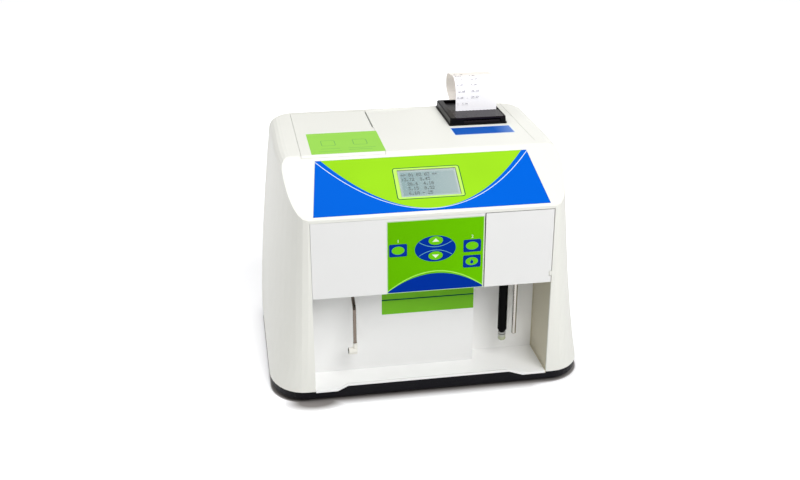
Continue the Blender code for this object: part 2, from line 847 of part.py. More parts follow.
def make_sample_bay():
    bay = solid("sample_bay", prism("Z", bay_plan(BAY_WALL, BAY_FRONT), up(0), up(BAY_TOP)),
                WHITE)
    cut(bay, prism("Z", bay_plan(0.0, -OVERRUN), up(BAY_FLOOR), up(BAY_TOP + OVERRUN)))
    add(bay, bay_lip())
    cut(bay, tube_bore(), lead_bores())
    return bay


def bay_lip():
    """The lip joins the floor to the front face and rises in the middle."""
    half = GATE_WIDTH / 2 - SLIDE_GAP
    stations = [(-half, 0), (-ARCH_FOOT_LEFT, 0), (-ARCH_TOP_LEFT, 1),
                (ARCH_TOP_RIGHT, 1), (ARCH_FOOT_RIGHT, 0), (half, 0)]
    rings = []
    for x, share in stations:
        rise = ARCH_RISE * share
        places = [(0.0, rise), (0.0, BAY_FLOOR + rise), (LIP_DEPTH, BAY_FLOOR - GAP),
                  (LIP_DEPTH, BAY_FLOOR / 2), (LIP_UNDERCUT, BAY_FLOOR / 2),
                  (LIP_UNDERCUT, rise)]
        rings.append([(x, back(depth), up(height)) for depth, height in places])
    return loft(rings)


def tube_bore():
    return rod("Y", TUBE_X, up(TUBE_EXIT), TUBE_RADIUS + SLIDE_GAP, back(BAY_DEPTH - OVERRUN),
               back(BAY_DEPTH + BAY_WALL + OVERRUN), sides=12)


def lead_height():
    return HOLDER_HEIGHT + HOLDER_THICK + CAP_HEIGHT + LEAD_RISE


def lead_bores():
    return together(*[rod("Y", x, up(lead_height()), LEAD_RADIUS + SLIDE_GAP,
                          back(PROBE_BAY_DEPTH - OVERRUN),
                          back(PROBE_BAY_DEPTH + BAY_WALL + OVERRUN), sides=10)
                      for x in (PH_X, TEMP_X)])


# Control panel and keypad

def key_outlines(room):
    """Each key's outline in X and height above the sill."""
    def block(x, height):
        return round_box(x - KEY_WIDTH / 2 - room, height - KEY_HEIGHT / 2 - room,
                         x + KEY_WIDTH / 2 + room, height + KEY_HEIGHT / 2 + room,
                         KEY_CORNER + room)

    def arrow(height):
        return circle(ARROW_KEY_X, height, ARROW_WIDTH / 2 + room, 20, ARROW_HEIGHT / 2 + room)

    return {"mode": block(MODE_KEY_X, KEY_ROW), "ok": block(SIDE_KEY_X, KEY_ROW),
            "clean": block(SIDE_KEY_X, CLEAN_KEY_HEIGHT),
            "up": arrow(KEY_ROW + ARROW_SPREAD), "down": arrow(KEY_ROW - ARROW_SPREAD)}


def key_centres():
    return {"mode": (MODE_KEY_X, KEY_ROW), "ok": (SIDE_KEY_X, KEY_ROW),
            "clean": (SIDE_KEY_X, CLEAN_KEY_HEIGHT),
            "up": (ARROW_KEY_X, KEY_ROW + ARROW_SPREAD),
            "down": (ARROW_KEY_X, KEY_ROW - ARROW_SPREAD)}


def raised(outline):
    return [(x, up(height)) for x, height in outline]


def keypad_rect():
    low = PANEL_BOTTOM + GAP
    return [(-KEYPAD_LEFT, low), (KEYPAD_RIGHT, low), (KEYPAD_RIGHT, KEYPAD_TOP),
            (-KEYPAD_LEFT, KEYPAD_TOP)]


def panel_boss_places():
    left, right = -GATE_WIDTH / 2 + BOSS_INSET, SLIT_X - BOSS_INSET
    low, high = PANEL_BOTTOM + BOSS_INSET, BAY_TOP - BOSS_INSET / 2
    return [(x, height) for x in (left, right) for height in (low, high)]


def make_control_panel():
    left, right = -GATE_WIDTH / 2 + SLIDE_GAP, SLIT_X - SLIT_WIDTH / 2
    top = GATE_TOP - GAP
    panel = solid("control_panel", box((left, back(0), up(PANEL_BOTTOM)),
                                       (right, back(PANEL_THICK), up(top))), WHITE)
    inner = back(PANEL_THICK - OVERRUN)
    deep = back(PANEL_THICK + RIB_DEPTH)
    foot = RIB_THICK
    add(panel, box((left + foot, inner, up(PANEL_BOTTOM) + foot / 4),
                   (right - foot / 4, deep, up(PANEL_BOTTOM) + foot * 5 / 4)))
    add(panel, *[rod("Y", x, up(height), BOSS_RADIUS, inner, back(BAY_DEPTH) - GAP, sides=12)
                 for x, height in panel_boss_places()])
    below, above = up(PANEL_BOTTOM - OVERRUN), up(KEYPAD_TOP + GAP)
    pocket = [(-KEYPAD_LEFT - GAP, below), (right + OVERRUN, below),
              (right + OVERRUN, above), (-KEYPAD_LEFT - GAP, above)]
    cut(panel, prism("Y", pocket, back(-OVERRUN), back(KEYPAD_POCKET)))
    well = KEY_THICK + KEY_TRAVEL + 2 * SHEET_SINK
    cut(panel, *[prism("Y", raised(outline), back(0), back(well))
                 for outline in key_outlines(GAP).values()])
    cut(panel, *[rod("Y", x, up(height), STEM_BORE, back(0), back(PANEL_THICK + OVERRUN),
                     sides=10) for x, height in key_centres().values()])
    return panel


def make_keypad():
    sheet = solid("keypad_overlay", prism("Y", raised(keypad_rect()), back(SHEET_SINK),
                                          back(SHEET_SINK + KEYPAD_SHEET)), GREEN)
    cut(sheet, *[prism("Y", raised(outline), back(-OVERRUN), back(KEYPAD_POCKET))
                 for outline in key_outlines(GAP).values()])
    outlines = key_outlines(0.0)
    face = SHEET_SINK
    for name, (x, height) in key_centres().items():
        key = solid(f"key_{name}", prism("Y", raised(outlines[name]), back(face),
                                         back(face + KEY_THICK)), BLUE,
                    pivot=(x, back(face), up(height)), smooth=30)
        add(key, rod("Y", x, up(height), STEM_RADIUS, back(face + KEY_THICK / 2),
                     back(face + KEY_THICK + STEM_LENGTH), sides=12))


def make_keypad_board():
    """The switch board behind the panel, with one tact switch behind each key."""
    stem_end = SHEET_SINK + KEY_THICK + STEM_LENGTH
    front = stem_end + KEY_TRAVEL + GAP + SWITCH_BODY
    margin = BOARD_MARGIN
    board = solid("keypad_board", box(
        (-KEYPAD_LEFT + margin, back(front), up(PANEL_BOTTOM + 3 * margin)),
        (SLIT_X - 2 * margin, back(front + BOARD_THICK), up(BAY_TOP - margin))), BOARD)
    half = SWITCH_SIZE / 2
    add(board, *[box((x - half, back(front - SWITCH_BODY), up(height) - half),
                     (x + half, back(front + BOARD_THICK / 2), up(height) + half))
                 for x, height in key_centres().values()])
    cut(board, *[rod("Y", x, up(height), BOSS_RADIUS + GAP, back(front - OVERRUN),
                     back(front + BOARD_THICK + OVERRUN), sides=12)
                 for x, height in panel_boss_places()])
    add(board, *[rod("Y", x, up(height), BOSS_RADIUS, back(front + BOARD_THICK / 2),
                     back(BAY_DEPTH) - GAP, sides=10)
                 for x, height in ((-KEYPAD_LEFT + 3 * margin, KEYPAD_TOP - 3 * margin),
                                   (KEYPAD_RIGHT - 9 * margin, PANEL_BOTTOM + 6 * margin))])
    return board


# Probe door

def make_door():
    left = SLIT_X + SLIT_WIDTH / 2
    low, high = up(PANEL_BOTTOM), up(GATE_TOP) - GAP
    arc = [(HINGE_X + HINGE_RADIUS * math.cos(math.radians(t)),
            back(HINGE_RADIUS) + HINGE_RADIUS * math.sin(math.radians(t)))
           for t in range(-90, 91, 15)]
    outline = [(left, back(0))] + arc + [(left, back(2 * HINGE_RADIUS))]
    pivot = (HINGE_X, back(HINGE_RADIUS), low)
    door = solid("probe_door", prism("Z", outline, low, high), WHITE, pivot=pivot)
    reach = HINGE_X - 3 * RIB_DEPTH
    inner, deep = back(2 * HINGE_RADIUS - OVERRUN), back(2 * HINGE_RADIUS + RIB_DEPTH)
    start = left + RIB_THICK
    outline = [(start, low + RIB_THICK), (reach, low + RIB_THICK), (reach, high - RIB_THICK),
               (start, high - RIB_THICK)]
    frame = prism("Y", outline, inner, deep)
    rib = solid("probe_door_frame_tool", frame, GUIDE)
    rib.hide_render = True
    rib.display_type = "WIRE"
    inside = [(start + RIB_THICK, low + 2 * RIB_THICK), (reach - RIB_THICK, low + 2 * RIB_THICK),
              (reach - RIB_THICK, high - 2 * RIB_THICK), (start + RIB_THICK, high - 2 * RIB_THICK)]
    cut(rib, prism("Y", inside, inner - OVERRUN, deep + OVERRUN))
    step = door.modifiers.new("Frame", "BOOLEAN")
    step.operation = "UNION"
    step.object = rib
    cut(door, rod("Z", HINGE_X, back(HINGE_RADIUS), PIN_BORE, low - OVERRUN, high + OVERRUN,
                  sides=10))
    room = HINGE_RADIUS + SLIDE_GAP
    cut(door, box((HINGE_X - room, back(-OVERRUN), up(KNUCKLE_BOTTOM) - KNUCKLE_GAP),
                  (HINGE_X + 2 * room, back(PANEL_THICK + OVERRUN),
                   up(KNUCKLE_BOTTOM + KNUCKLE_HEIGHT) + KNUCKLE_GAP)))
    solid("door_hinge_pin", rod("Z", HINGE_X, back(HINGE_RADIUS), PIN_RADIUS, low + RIB_THICK,
                                up(GATE_TOP + HINGE_RADIUS) - GAP, sides=10), STEEL, smooth=30)
    return door


# Display

def make_display():
    sheet = solid("display_overlay", slope_block(display_outline(0.0),
                                                 -DISPLAY_POCKET + GAP,
                                                 -DISPLAY_POCKET + GAP + DISPLAY_SHEET), BLUE)
    cut(sheet, slope_block(window_outline(0.0), -WALL, WALL))
    solid("display_window", slope_block(window_outline(-GAP), -WINDOW_THICK, -GAP / 2), GLASS)
    half = WINDOW_WIDTH / 2 + MODULE_MARGIN
    low, high = WINDOW_LOW - MODULE_MARGIN, WINDOW_HIGH + MODULE_MARGIN
    top = -WALL - GAP
    module = solid("display_module", slope_block(
        [(WINDOW_X - half, low), (WINDOW_X + half, low), (WINDOW_X + half, high),
         (WINDOW_X - half, high)], top - MODULE_THICK, top), BOARD)
    half = WINDOW_WIDTH / 2 - 2 * GAP
    add(module, slope_block(
        [(WINDOW_X - half, WINDOW_LOW + 2 * GAP), (WINDOW_X + half, WINDOW_LOW + 2 * GAP),
         (WINDOW_X + half, WINDOW_HIGH - 2 * GAP), (WINDOW_X - half, WINDOW_HIGH - 2 * GAP)],
        top - OVERRUN, -WINDOW_THICK - GAP))
    return module


# Hatch, tub and pump

def make_hatch():
    """The lid's section runs down over the crease at the front and ends in a hinge barrel."""
    crease_inner = (CREASE_DEPTH + WALL * math.tan(SLOPE_ANGLE / 2), TOP_HEIGHT - WALL)
    front = HATCH_FRONT + SLIDE_GAP
    run = front / math.cos(SLOPE_ANGLE)
    edge = slope_place(run)
    inner = (front, SLOPE_FOOT + (front * math.sin(SLOPE_ANGLE) - WALL) / math.cos(SLOPE_ANGLE))
    depth, height = hatch_axis()
    arc = [(depth + HINGE_RADIUS * math.sin(math.radians(t)),
            height + HINGE_RADIUS * math.cos(math.radians(t))) for t in range(0, 181, 20)]
    places = [edge, (CREASE_DEPTH, TOP_HEIGHT)] + arc + [crease_inner, inner]
    outline = [(back(depth), up(height)) for depth, height in places]
    left, right = -HATCH_LEFT + SLIDE_GAP, -HATCH_RIGHT - SLIDE_GAP
    pivot = (-(HATCH_LEFT + HATCH_RIGHT) / 2, back(depth), up(height))
    hatch = solid("pump_hatch", prism("X", outline, left, right), WHITE, pivot=pivot, smooth=30)
    slot_end = HATCH_REAR - HATCH_SLOT_END
    slot = box((right - HATCH_SLOT_WIDTH, back(slot_end - HATCH_SLOT_LENGTH),
                up(TOP_HEIGHT - 2 * WALL)),
               (right + OVERRUN, back(slot_end), up(TOP_HEIGHT + OVERRUN)))
    cut(hatch, slot)
    reach = HINGE_RADIUS * 2
    add(hatch, rod("X", back(depth), up(height), PIN_RADIUS, left - reach, right + reach,
                   sides=10))
    return hatch


def tub_floor():
    return TOP_HEIGHT - TUB_DEPTH


def pump_x():
    return -(HATCH_LEFT + HATCH_RIGHT) / 2


def make_tub():
    """The open box under the hatch that carries the pump."""
    left, right = -HATCH_LEFT + TUB_FLANGE, -HATCH_RIGHT - TUB_FLANGE
    top = TOP_HEIGHT - WALL - GAP
    tub = solid("pump_tub", box((left, back(TUB_FRONT), up(tub_floor() - TUB_WALL)),
                                (right, back(TUB_REAR), up(top))), GREY)
    flange = TUB_FLANGE * 2
    add(tub, box((left - flange, back(TUB_FRONT - TUB_FLANGE), up(top - TUB_WALL)),
                 (right + flange, back(TUB_REAR + TUB_FLANGE), up(top) - GAP / 3)))
    cut(tub, box((left + TUB_WALL, back(TUB_FRONT + TUB_WALL), up(tub_floor())),
                 (right - TUB_WALL, back(TUB_REAR - TUB_WALL), up(top + OVERRUN))))
    bore = SHAFT_RADIUS + SHAFT_CLEAR
    legs = [rod("Y", pump_x() + side * hose_orbit(), up(hose_height()),
                PUMP_HOSE_HIGH / 2 + GAP, back(TUB_REAR - 2 * TUB_WALL),
                back(TUB_REAR + TUB_WALL), sides=12) for side in (-1, 1)]
    cut(tub, rod("Z", pump_x(), back(PUMP_DEPTH), bore, up(tub_floor() - 2 * TUB_WALL),
                 up(tub_floor() + OVERRUN), sides=12), *legs)
    return tub


def plate_top():
    return tub_floor() + GAP + PUMP_PLATE


def hose_orbit():
    return TRACK_RADIUS - HOSE_BORE_GAP - PUMP_HOSE_THICK / 2


def hose_height():
    return plate_top() + TRACK_HEIGHT / 2


def make_pump_track():
    """The pump's base plate with the horseshoe wall that the hose is pressed against."""
    x, y = pump_x(), back(PUMP_DEPTH)
    outer, inner = TRACK_RADIUS + TRACK_WALL, TRACK_RADIUS
    low = up(tub_floor()) + GAP
    half = outer + TRACK_WALL / 2
    track = solid("pump_track", box((x - half, y - half, low),
                                    (x + half, y + half, up(plate_top()))), CREAM)
    turns = [math.radians(180 + 180 * i / 18) for i in range(19)]
    leg = TRACK_RADIUS / 2
    wall = [(x + outer, y + leg)] + [(x - outer * math.cos(t), y + outer * math.sin(t))
                                     for t in turns] + [(x - outer, y + leg)]
    wall += [(x - inner, y + leg)] + [(x + inner * math.cos(t), y + inner * math.sin(t))
                                      for t in turns] + [(x + inner, y + leg)]
    add(track, prism("Z", wall, up(plate_top()) - OVERRUN, up(plate_top() + TRACK_HEIGHT)))
    cut(track, rod("Z", x, y, SHAFT_RADIUS + SHAFT_CLEAR, low - OVERRUN,
                   up(plate_top()) + OVERRUN, sides=12))
    return track


def make_pump_hose():
    """The pressed hose, flat where the rollers run, round the horseshoe and out at the rear."""
    x, y, z = pump_x(), back(PUMP_DEPTH), up(hose_height())
    orbit = hose_orbit()
    leg = TUB_REAR + 2 * TUB_WALL - PUMP_DEPTH
    places = [((x - orbit, y + leg), (-1.0, 0.0)), ((x - orbit, y + leg / 2), (-1.0, 0.0))]
    for i in range(15):
        turn = math.radians(180 + 180 * i / 14)
        outward = (math.cos(turn), math.sin(turn))
        places.append(((x + orbit * outward[0], y + orbit * outward[1]), outward))
    places += [((x + orbit, y + leg / 2), (1.0, 0.0)), ((x + orbit, y + leg), (1.0, 0.0))]
    rings = []
    for (px, py), (ox, oy) in places:
        ring = []
        for i in range(8):
            turn = math.tau * i / 8
            out = PUMP_HOSE_THICK / 2 * math.cos(turn)
            ring.append((px + ox * out, py + oy * out, z + PUMP_HOSE_HIGH / 2 * math.sin(turn)))
        rings.append(ring)
    return solid("pump_hose", loft(rings), SILICONE, smooth=60)


def roller_places():
    turns = [math.radians(90) + math.tau * i / ROLLER_COUNT for i in range(ROLLER_COUNT)]
    return [(pump_x() + ROLLER_ORBIT * math.cos(t), back(PUMP_DEPTH) + ROLLER_ORBIT * math.sin(t))
            for t in turns]


def make_rotor():
    """Two discs on a hub, with a pin for each roller and a knob to turn it by hand."""
    x, y = pump_x(), back(PUMP_DEPTH)
    low = up(plate_top()) + SLIDE_GAP
    high = up(plate_top() + TRACK_HEIGHT) + OVERRUN
    disc = ROLLER_ORBIT + ROLLER_PIN * 1.5
    top = high + DISC_THICK
    rotor = solid("pump_rotor", turned("Z", x, y, [
        (disc, low), (disc, low + DISC_THICK), (HUB_RADIUS, low + DISC_THICK), (HUB_RADIUS, high),
        (disc, high), (disc, top), (KNOB_RADIUS, top)], sides=20), GREY,
        pivot=(x, y, low), smooth=30)
    grip = []
    for i in range(20):
        turn, reach = math.tau * i / 20, KNOB_RADIUS * (1 - 0.12 * (i % 2))
        grip.append((x + reach * math.cos(turn), y + reach * math.sin(turn)))
    add(rotor, prism("Z", grip, top - DISC_THICK / 2, top + KNOB_HEIGHT))
    add(rotor, *[rod("Z", px, py, ROLLER_PIN, low + DISC_THICK / 2, high + DISC_THICK / 2,
                     sides=10) for px, py in roller_places()])
    shaft_end = up(tub_floor() - TUB_WALL) - GEARBOX_LENGTH + OVERRUN
    add(rotor, rod("Z", x, y, SHAFT_RADIUS, shaft_end, low + DISC_THICK / 2, sides=12))
    for i, (px, py) in enumerate(roller_places(), 1):
        start, end = low + DISC_THICK + GAP, high - GAP
        edge = ROLLER_RADIUS / 10
        ring = [(ROLLER_BORE, start), (ROLLER_RADIUS - edge, start),
                (ROLLER_RADIUS, start + edge), (ROLLER_RADIUS, end - edge),
                (ROLLER_RADIUS - edge, end), (ROLLER_BORE, end)]
        solid(f"pump_roller_{i}", turned("Z", px, py, ring, sides=14, closed=True), CREAM,
              pivot=(px, py, start), smooth=30)
    return rotor


def make_pump_motor():
    """The geared motor hangs under the tub; its shaft turns with the rotor."""
    x, y = pump_x(), back(PUMP_DEPTH)
    top = up(tub_floor() - TUB_WALL) - GAP
    box_low = top - GEARBOX_LENGTH
    flat = MOTOR_RADIUS * 0.8
    low = box_low - MOTOR_LENGTH
    motor = solid("pump_motor", turned("Z", x, y, [
        (SHAFT_RADIUS * 2, low - OVERRUN), (SHAFT_RADIUS * 2, low), (flat, low),
        (flat, box_low), (MOTOR_RADIUS, box_low), (MOTOR_RADIUS, top)], sides=20), STEEL,
        smooth=30)
    bore = SHAFT_RADIUS + RUN_FIT
    cut(motor, rod("Z", x, y, bore, box_low + OVERRUN / 2, top + OVERRUN, sides=12))
    return motor


# Printer

def well_sides():
    return PAPER_X - WELL_LEFT, PAPER_X + WELL_RIGHT


def make_bezel():
    """A flange on the top, a raised frame with drawn-in sides, and walls down the cut-out."""
    half = PRINTER_WIDTH / 2
    low = up(TOP_HEIGHT) + GAP
    high = low + PRINTER_FLANGE
    top = up(TOP_HEIGHT + PRINTER_RISE)

    def plan(inset, z):
        outline = round_box(PRINTER_X - half + inset, back(PRINTER_FRONT + inset),
                            PRINTER_X + half - inset, back(PRINTER_REAR - inset),
                            PRINTER_CORNER)
        return [(x, y, z) for x, y in outline]

    step = PRINTER_MARGIN / 2
    edge = PRINTER_FLANGE / 2
    bezel = solid("printer_bezel", loft([
        plan(0.0, low), plan(0.0, high), plan(step, high),
        plan(PRINTER_MARGIN - edge / 2, top - edge), plan(PRINTER_MARGIN + edge / 2, top)]),
        BLACK)
    left, right = well_sides()
    front = PRINTER_FRONT + PRINTER_MARGIN + PRINTER_WALL
    ledge = top - COVER_SINK - COVER_THICK - GAP
    cut(bezel, box((left, back(PRINTER_FRONT - OVERRUN), ledge),
                   (right, back(front + OVERRUN), top + OVERRUN)))
    cut(bezel, box((left, back(front), low - OVERRUN),
                   (right, back(DOOR_REAR + PRINTER_WALL), top + OVERRUN)))
    half = NOTCH_WIDTH / 2
    cut(bezel, box((PAPER_X - half, back(PRINTER_FRONT - OVERRUN), high + edge),
                   (PAPER_X + half, back(front + OVERRUN), top + OVERRUN)))
    depth, height = paper_door_axis()
    cut(bezel, rod("X", back(depth), up(height), PIN_BORE, left - 2 * PRINTER_WALL,
                   right + 2 * PRINTER_WALL, sides=10))
    return bezel


def paper_door_axis():
    return DOOR_REAR - HINGE_RADIUS, TOP_HEIGHT + PRINTER_RISE - DOOR_SINK - HINGE_RADIUS


def platen_axis():
    depth, height = paper_door_axis()
    return SLOT_DEPTH + PAPER_THICK + 2 * GAP + PLATEN_RADIUS, height - PLATEN_DROP


def drive_axis():
    depth, height = platen_axis()
    return depth, height - GEAR_MODULE * (PLATEN_TEETH + DRIVE_TEETH) / 2


def make_cover():
    """The smoked cover in front of the paper slot, with the release key in its notch."""
    left, right = well_sides()
    front = PRINTER_FRONT + COVER_FRONT
    rear = SLOT_DEPTH - 3 * GAP - HEAD_THICK
    top = up(TOP_HEIGHT + PRINTER_RISE - COVER_SINK)
    outline = [(back(front), top - COVER_THICK), (back(rear), top - COVER_THICK),
               (back(rear), top), (back(front) + COVER_THICK / 2, top),
               (back(front), top - COVER_THICK / 3)]
    cover = solid("printer_cover", prism("X", outline, left + GAP, right - GAP), SMOKE)
    leg = RIB_THICK
    well = back(PRINTER_FRONT + PRINTER_MARGIN + PRINTER_WALL) + GAP
    add(cover, *[box((x, well, up(TOP_HEIGHT) - WALL),
                     (x + leg, back(bin_front()) - GAP, top - COVER_THICK / 2))
                 for x in (left + leg, right - 2 * leg)])
    half = NOTCH_WIDTH / 2 - SLIDE_GAP
    low = up(TOP_HEIGHT) + GAP + PRINTER_FLANGE * 1.5 + GAP
    start = front + GAP
    end = start + RELEASE_DEPTH
    key = [(back(start), low), (back(end), low), (back(end), low + RELEASE_HEIGHT),
           (back(start) + RELEASE_HEIGHT / 3, low + RELEASE_HEIGHT)]
    release = solid("printer_release", prism("X", key, PAPER_X - half, PAPER_X + half), SMOKE,
                    pivot=(PAPER_X, back(start), low))
    add(release, box((PAPER_X - half / 2, back(end) - OVERRUN, low + GAP),
                     (PAPER_X + half / 2, back(end) + RELEASE_TRAVEL * 3,
                      low + RELEASE_HEIGHT / 2)))
    return cover


def make_print_head():
    """The head stands in front of the slot, under the toothed tear edge."""
    left, right = gear_sides()[1] + GAP, well_sides()[1] - ARM_THICK - 3 * GAP
    rear = SLOT_DEPTH - 2 * GAP
    high = up(TOP_HEIGHT + PRINTER_RISE - COVER_SINK)
    low = up(platen_axis()[1]) - HEAD_HEIGHT / 2
    head = solid("print_head", box((left, back(rear - HEAD_THICK), low),
                                   (right, back(rear), high - COVER_THICK)), STEEL)
    count = 2 * TEAR_TEETH
    teeth = [(left, high - COVER_THICK - OVERRUN)]
    teeth += [(left + (right - left) * i / count, high if i % 2 else high - HEAD_THICK / 2)
              for i in range(count + 1)]
    teeth.append((right, high - COVER_THICK - OVERRUN))
    add(head, prism("Y", teeth, back(rear - HEAD_THICK / 2), back(rear - GAP / 3)))
    bracket = HEAD_HEIGHT / 4
    start = back(bin_front() + BIN_WALL) + GAP
    add(head, *[box((x - bracket, start, low + GAP),
                    (x + bracket, back(rear - HEAD_THICK / 2), low + bracket))
                for x in (PAPER_X - HEAD_HEIGHT, PAPER_X + HEAD_HEIGHT)])
    return head


def make_paper_door():
    """The lid behind the slot turns up about its rear edge and carries the platen."""
    left, right = well_sides()
    depth, height = paper_door_axis()
    platen_depth, platen_height = platen_axis()
    front = platen_depth - PLATEN_RADIUS + PAPER_THICK
    top = height + HINGE_RADIUS
    arc = [(depth + HINGE_RADIUS * math.sin(math.radians(t)),
            height + HINGE_RADIUS * math.cos(math.radians(t))) for t in range(0, 181, 30)]
    places = [(front, top - DOOR_THICK / 2), (front + DOOR_THICK / 2, top)] + arc
    places += [(front, top - DOOR_THICK)]
    outline = [(back(d), up(h)) for d, h in places]
    pivot = (PAPER_X, back(depth), up(height))
    door = solid("paper_door", prism("X", outline, left + GAP, right - GAP), BLACK, pivot=pivot)
    for x in (left + GAP * 2, right - GAP * 2 - ARM_THICK):
        reach = PLATEN_SHAFT * 2
        arm = [(platen_depth - reach, platen_height - reach),
               (platen_depth + reach, platen_height - reach),
               (platen_depth + 4 * reach, top - DOOR_THICK / 2),
               (platen_depth - reach, top - DOOR_THICK / 2)]
        add(door, prism("X", [(back(d), up(h)) for d, h in arm], x, x + ARM_THICK))
    add(door, rod("X", back(depth), up(height), PIN_RADIUS, left - PRINTER_WALL,
                  right + PRINTER_WALL, sides=10))
    cut(door, rod("X", back(platen_depth), up(platen_height), PLATEN_SHAFT + RUN_FIT,
                  left - OVERRUN, right + OVERRUN))
    return door


def make_platen():
    left, right = well_sides()
    depth, height = platen_axis()
    inner_left, wheel = gear_sides()
    inner_right = right - 3 * GAP - ARM_THICK
    start = wheel + GAP
    pivot = (PAPER_X, back(depth), up(height))
    solid("platen_roller", turned("X", back(depth), up(height), [
        (PLATEN_SHAFT, left + GAP * 3), (PLATEN_SHAFT, start), (PLATEN_RADIUS, start),
        (PLATEN_RADIUS, inner_right), (PLATEN_SHAFT, inner_right),
        (PLATEN_SHAFT, right - GAP * 3)], sides=16), RUBBER, pivot=pivot, smooth=30)
    gear = solid("platen_gear", prism("X", gear_outline(back(depth), up(height), PLATEN_TEETH,
                                                        math.pi / 2), inner_left, wheel),
                 CREAM, pivot=pivot)
    cut(gear, rod("X", back(depth), up(height), PLATEN_SHAFT + GAP / 2, inner_left - OVERRUN,
                  wheel + OVERRUN, sides=16))
    depth, height = drive_axis()
    pivot = (PAPER_X, back(depth), up(height))
    phase = math.pi / 2 + math.pi / DRIVE_TEETH
    drive = solid("drive_gear", prism("X", gear_outline(back(depth), up(height), DRIVE_TEETH,
                                                        phase), inner_left, wheel),
                  CREAM, pivot=pivot)
    add(drive, rod("X", back(depth), up(height), PLATEN_SHAFT, left + GAP - BIN_WALL,
                   wheel + 4 * GEAR_WIDTH))
    return gear


def bin_front():
    return SLOT_DEPTH - 6 * HEAD_THICK


def gear_sides():
    left = well_sides()[0] + 3 * GAP + ARM_THICK
    return left, left + GEAR_WIDTH


def make_bin():
    """The paper bin under the bezel: a bucket with a round floor for the roll."""
    left, right = well_sides()
    top = up(TOP_HEIGHT)
    front, rear = bin_front(), DOOR_REAR + BIN_WALL
    low = top - BIN_DEPTH
    room = BIN_WALL
    bucket = solid("paper_bin", box((left - room + GAP, back(front), low),
                                    (right + room - GAP, back(rear), top)), BLACK)
    roll_depth, roll_height = roll_axis()
    inner = ROLL_RADIUS + GAP
    arc = [(back(roll_depth) + inner * math.cos(math.radians(t)),
            up(roll_height) + inner * math.sin(math.radians(t))) for t in range(180, 361, 15)]
    cavity = [(back(front) + room, top + OVERRUN)] + [(back(front) + room, up(roll_height))]
    cavity += arc + [(arc[-1][0], top + OVERRUN)]
    cut(bucket, prism("X", cavity, left + GAP, right - GAP))
    depth, height = drive_axis()
    cut(bucket, rod("X", back(depth), up(height), PLATEN_SHAFT + RUN_FIT, left - 2 * room,
                    left + 2 * room))
    return bucket


def roll_axis():
    rear = DOOR_REAR - GAP
    return rear - ROLL_RADIUS, TOP_HEIGHT - BIN_DEPTH + BIN_WALL + ROLL_RADIUS + GAP


def make_paper():
    depth, height = roll_axis()
    half = PAPER_WIDTH / 2
    ring = [(ROLL_CORE, PAPER_X - half), (ROLL_RADIUS, PAPER_X - half),
            (ROLL_RADIUS, PAPER_X + half), (ROLL_CORE, PAPER_X + half)]
    solid("paper_roll", turned("X", back(depth), up(height), ring, sides=24, closed=True), PAPER,
          pivot=(PAPER_X, back(depth), up(height)), smooth=30)
    outline = paper_line(0.0) + list(reversed(paper_line(PAPER_THICK)))
    outline = [(back(d), up(h)) for d, h in outline]
    solid("paper_strip", prism("X", outline, PAPER_X - half, PAPER_X + half), PAPER, smooth=60)


def paper_line(inset):
    """The strip stands up from the slot, curls over to the rear and comes back forward."""
    depth, height = SLOT_DEPTH + PAPER_THICK, TOP_HEIGHT + PAPER_STAND
    places = [(depth + inset, platen_axis()[1])]
    heading = 0.0
    for radius, sweep in zip((PAPER_FRONT_CURL, PAPER_CROWN_CURL, PAPER_REAR_CURL),
                             PAPER_SWEEPS):
        middle = (depth + radius * math.cos(heading), height - radius * math.sin(heading))
        steps = math.ceil(sweep / PAPER_STEP_ANGLE)
        for i in range(steps + 1):
            turn = heading + math.radians(sweep * i / steps)
            places.append((middle[0] - (radius - inset) * math.cos(turn),
                           middle[1] + (radius - inset) * math.sin(turn)))
        heading += math.radians(sweep)
        depth = middle[0] - radius * math.cos(heading)
        height = middle[1] + radius * math.sin(heading)
    last = places[-1]
    places.append((last[0] + PAPER_TAIL * math.sin(heading),
                   last[1] + PAPER_TAIL * math.cos(heading)))
    return clear_of_repeats(places)


def clear_of_repeats(places):
    kept = places[:1]
    for place in places[1:]:
        if math.dist(place, kept[-1]) > PAPER_THICK / 2:
            kept.append(place)
    return kept


# Sample tube and probes

def make_intake():
    exit_y = back(BAY_DEPTH - TUBE_BEND_REACH)
    run = bent_run([(TUBE_X, back(BAY_DEPTH + 3 * BAY_WALL), up(TUBE_EXIT)),
                    (TUBE_X, exit_y, up(TUBE_EXIT)),
                    (TUBE_X, back(TUBE_DEPTH), up(TUBE_BEND)),
                    (TUBE_X, back(TUBE_DEPTH), up(TUBE_END))], TUBE_BEND_REACH, steps=5)
    tube("intake_tube", run, TUBE_RADIUS, STEEL)
    x, y = TUBE_X, back(TUBE_DEPTH)
    middle = up(TIP_LOW) + TIP_RADIUS
    edge = TIP_RADIUS / 8
    tip = solid("intake_tip", turned("X", y, middle, [
        (TIP_RADIUS - edge, x - TIP_REACH), (TIP_RADIUS, x - TIP_REACH + edge),
        (TIP_RADIUS, x + TIP_HEEL - edge), (TIP_RADIUS - edge, x + TIP_HEEL)], sides=14),
        CREAM, smooth=40)
    add(tip, rod("Z", x, y, TIP_NECK, middle, up(TIP_HIGH), sides=14))
    cut(tip, rod("X", y, middle, TIP_BORE, x - TIP_REACH - OVERRUN, x, sides=12))
    cut(tip, rod("Z", x, y, TUBE_RADIUS + GAP, up(TUBE_END) - GAP, up(TIP_HIGH + OVERRUN),
                 sides=12))
    return tip


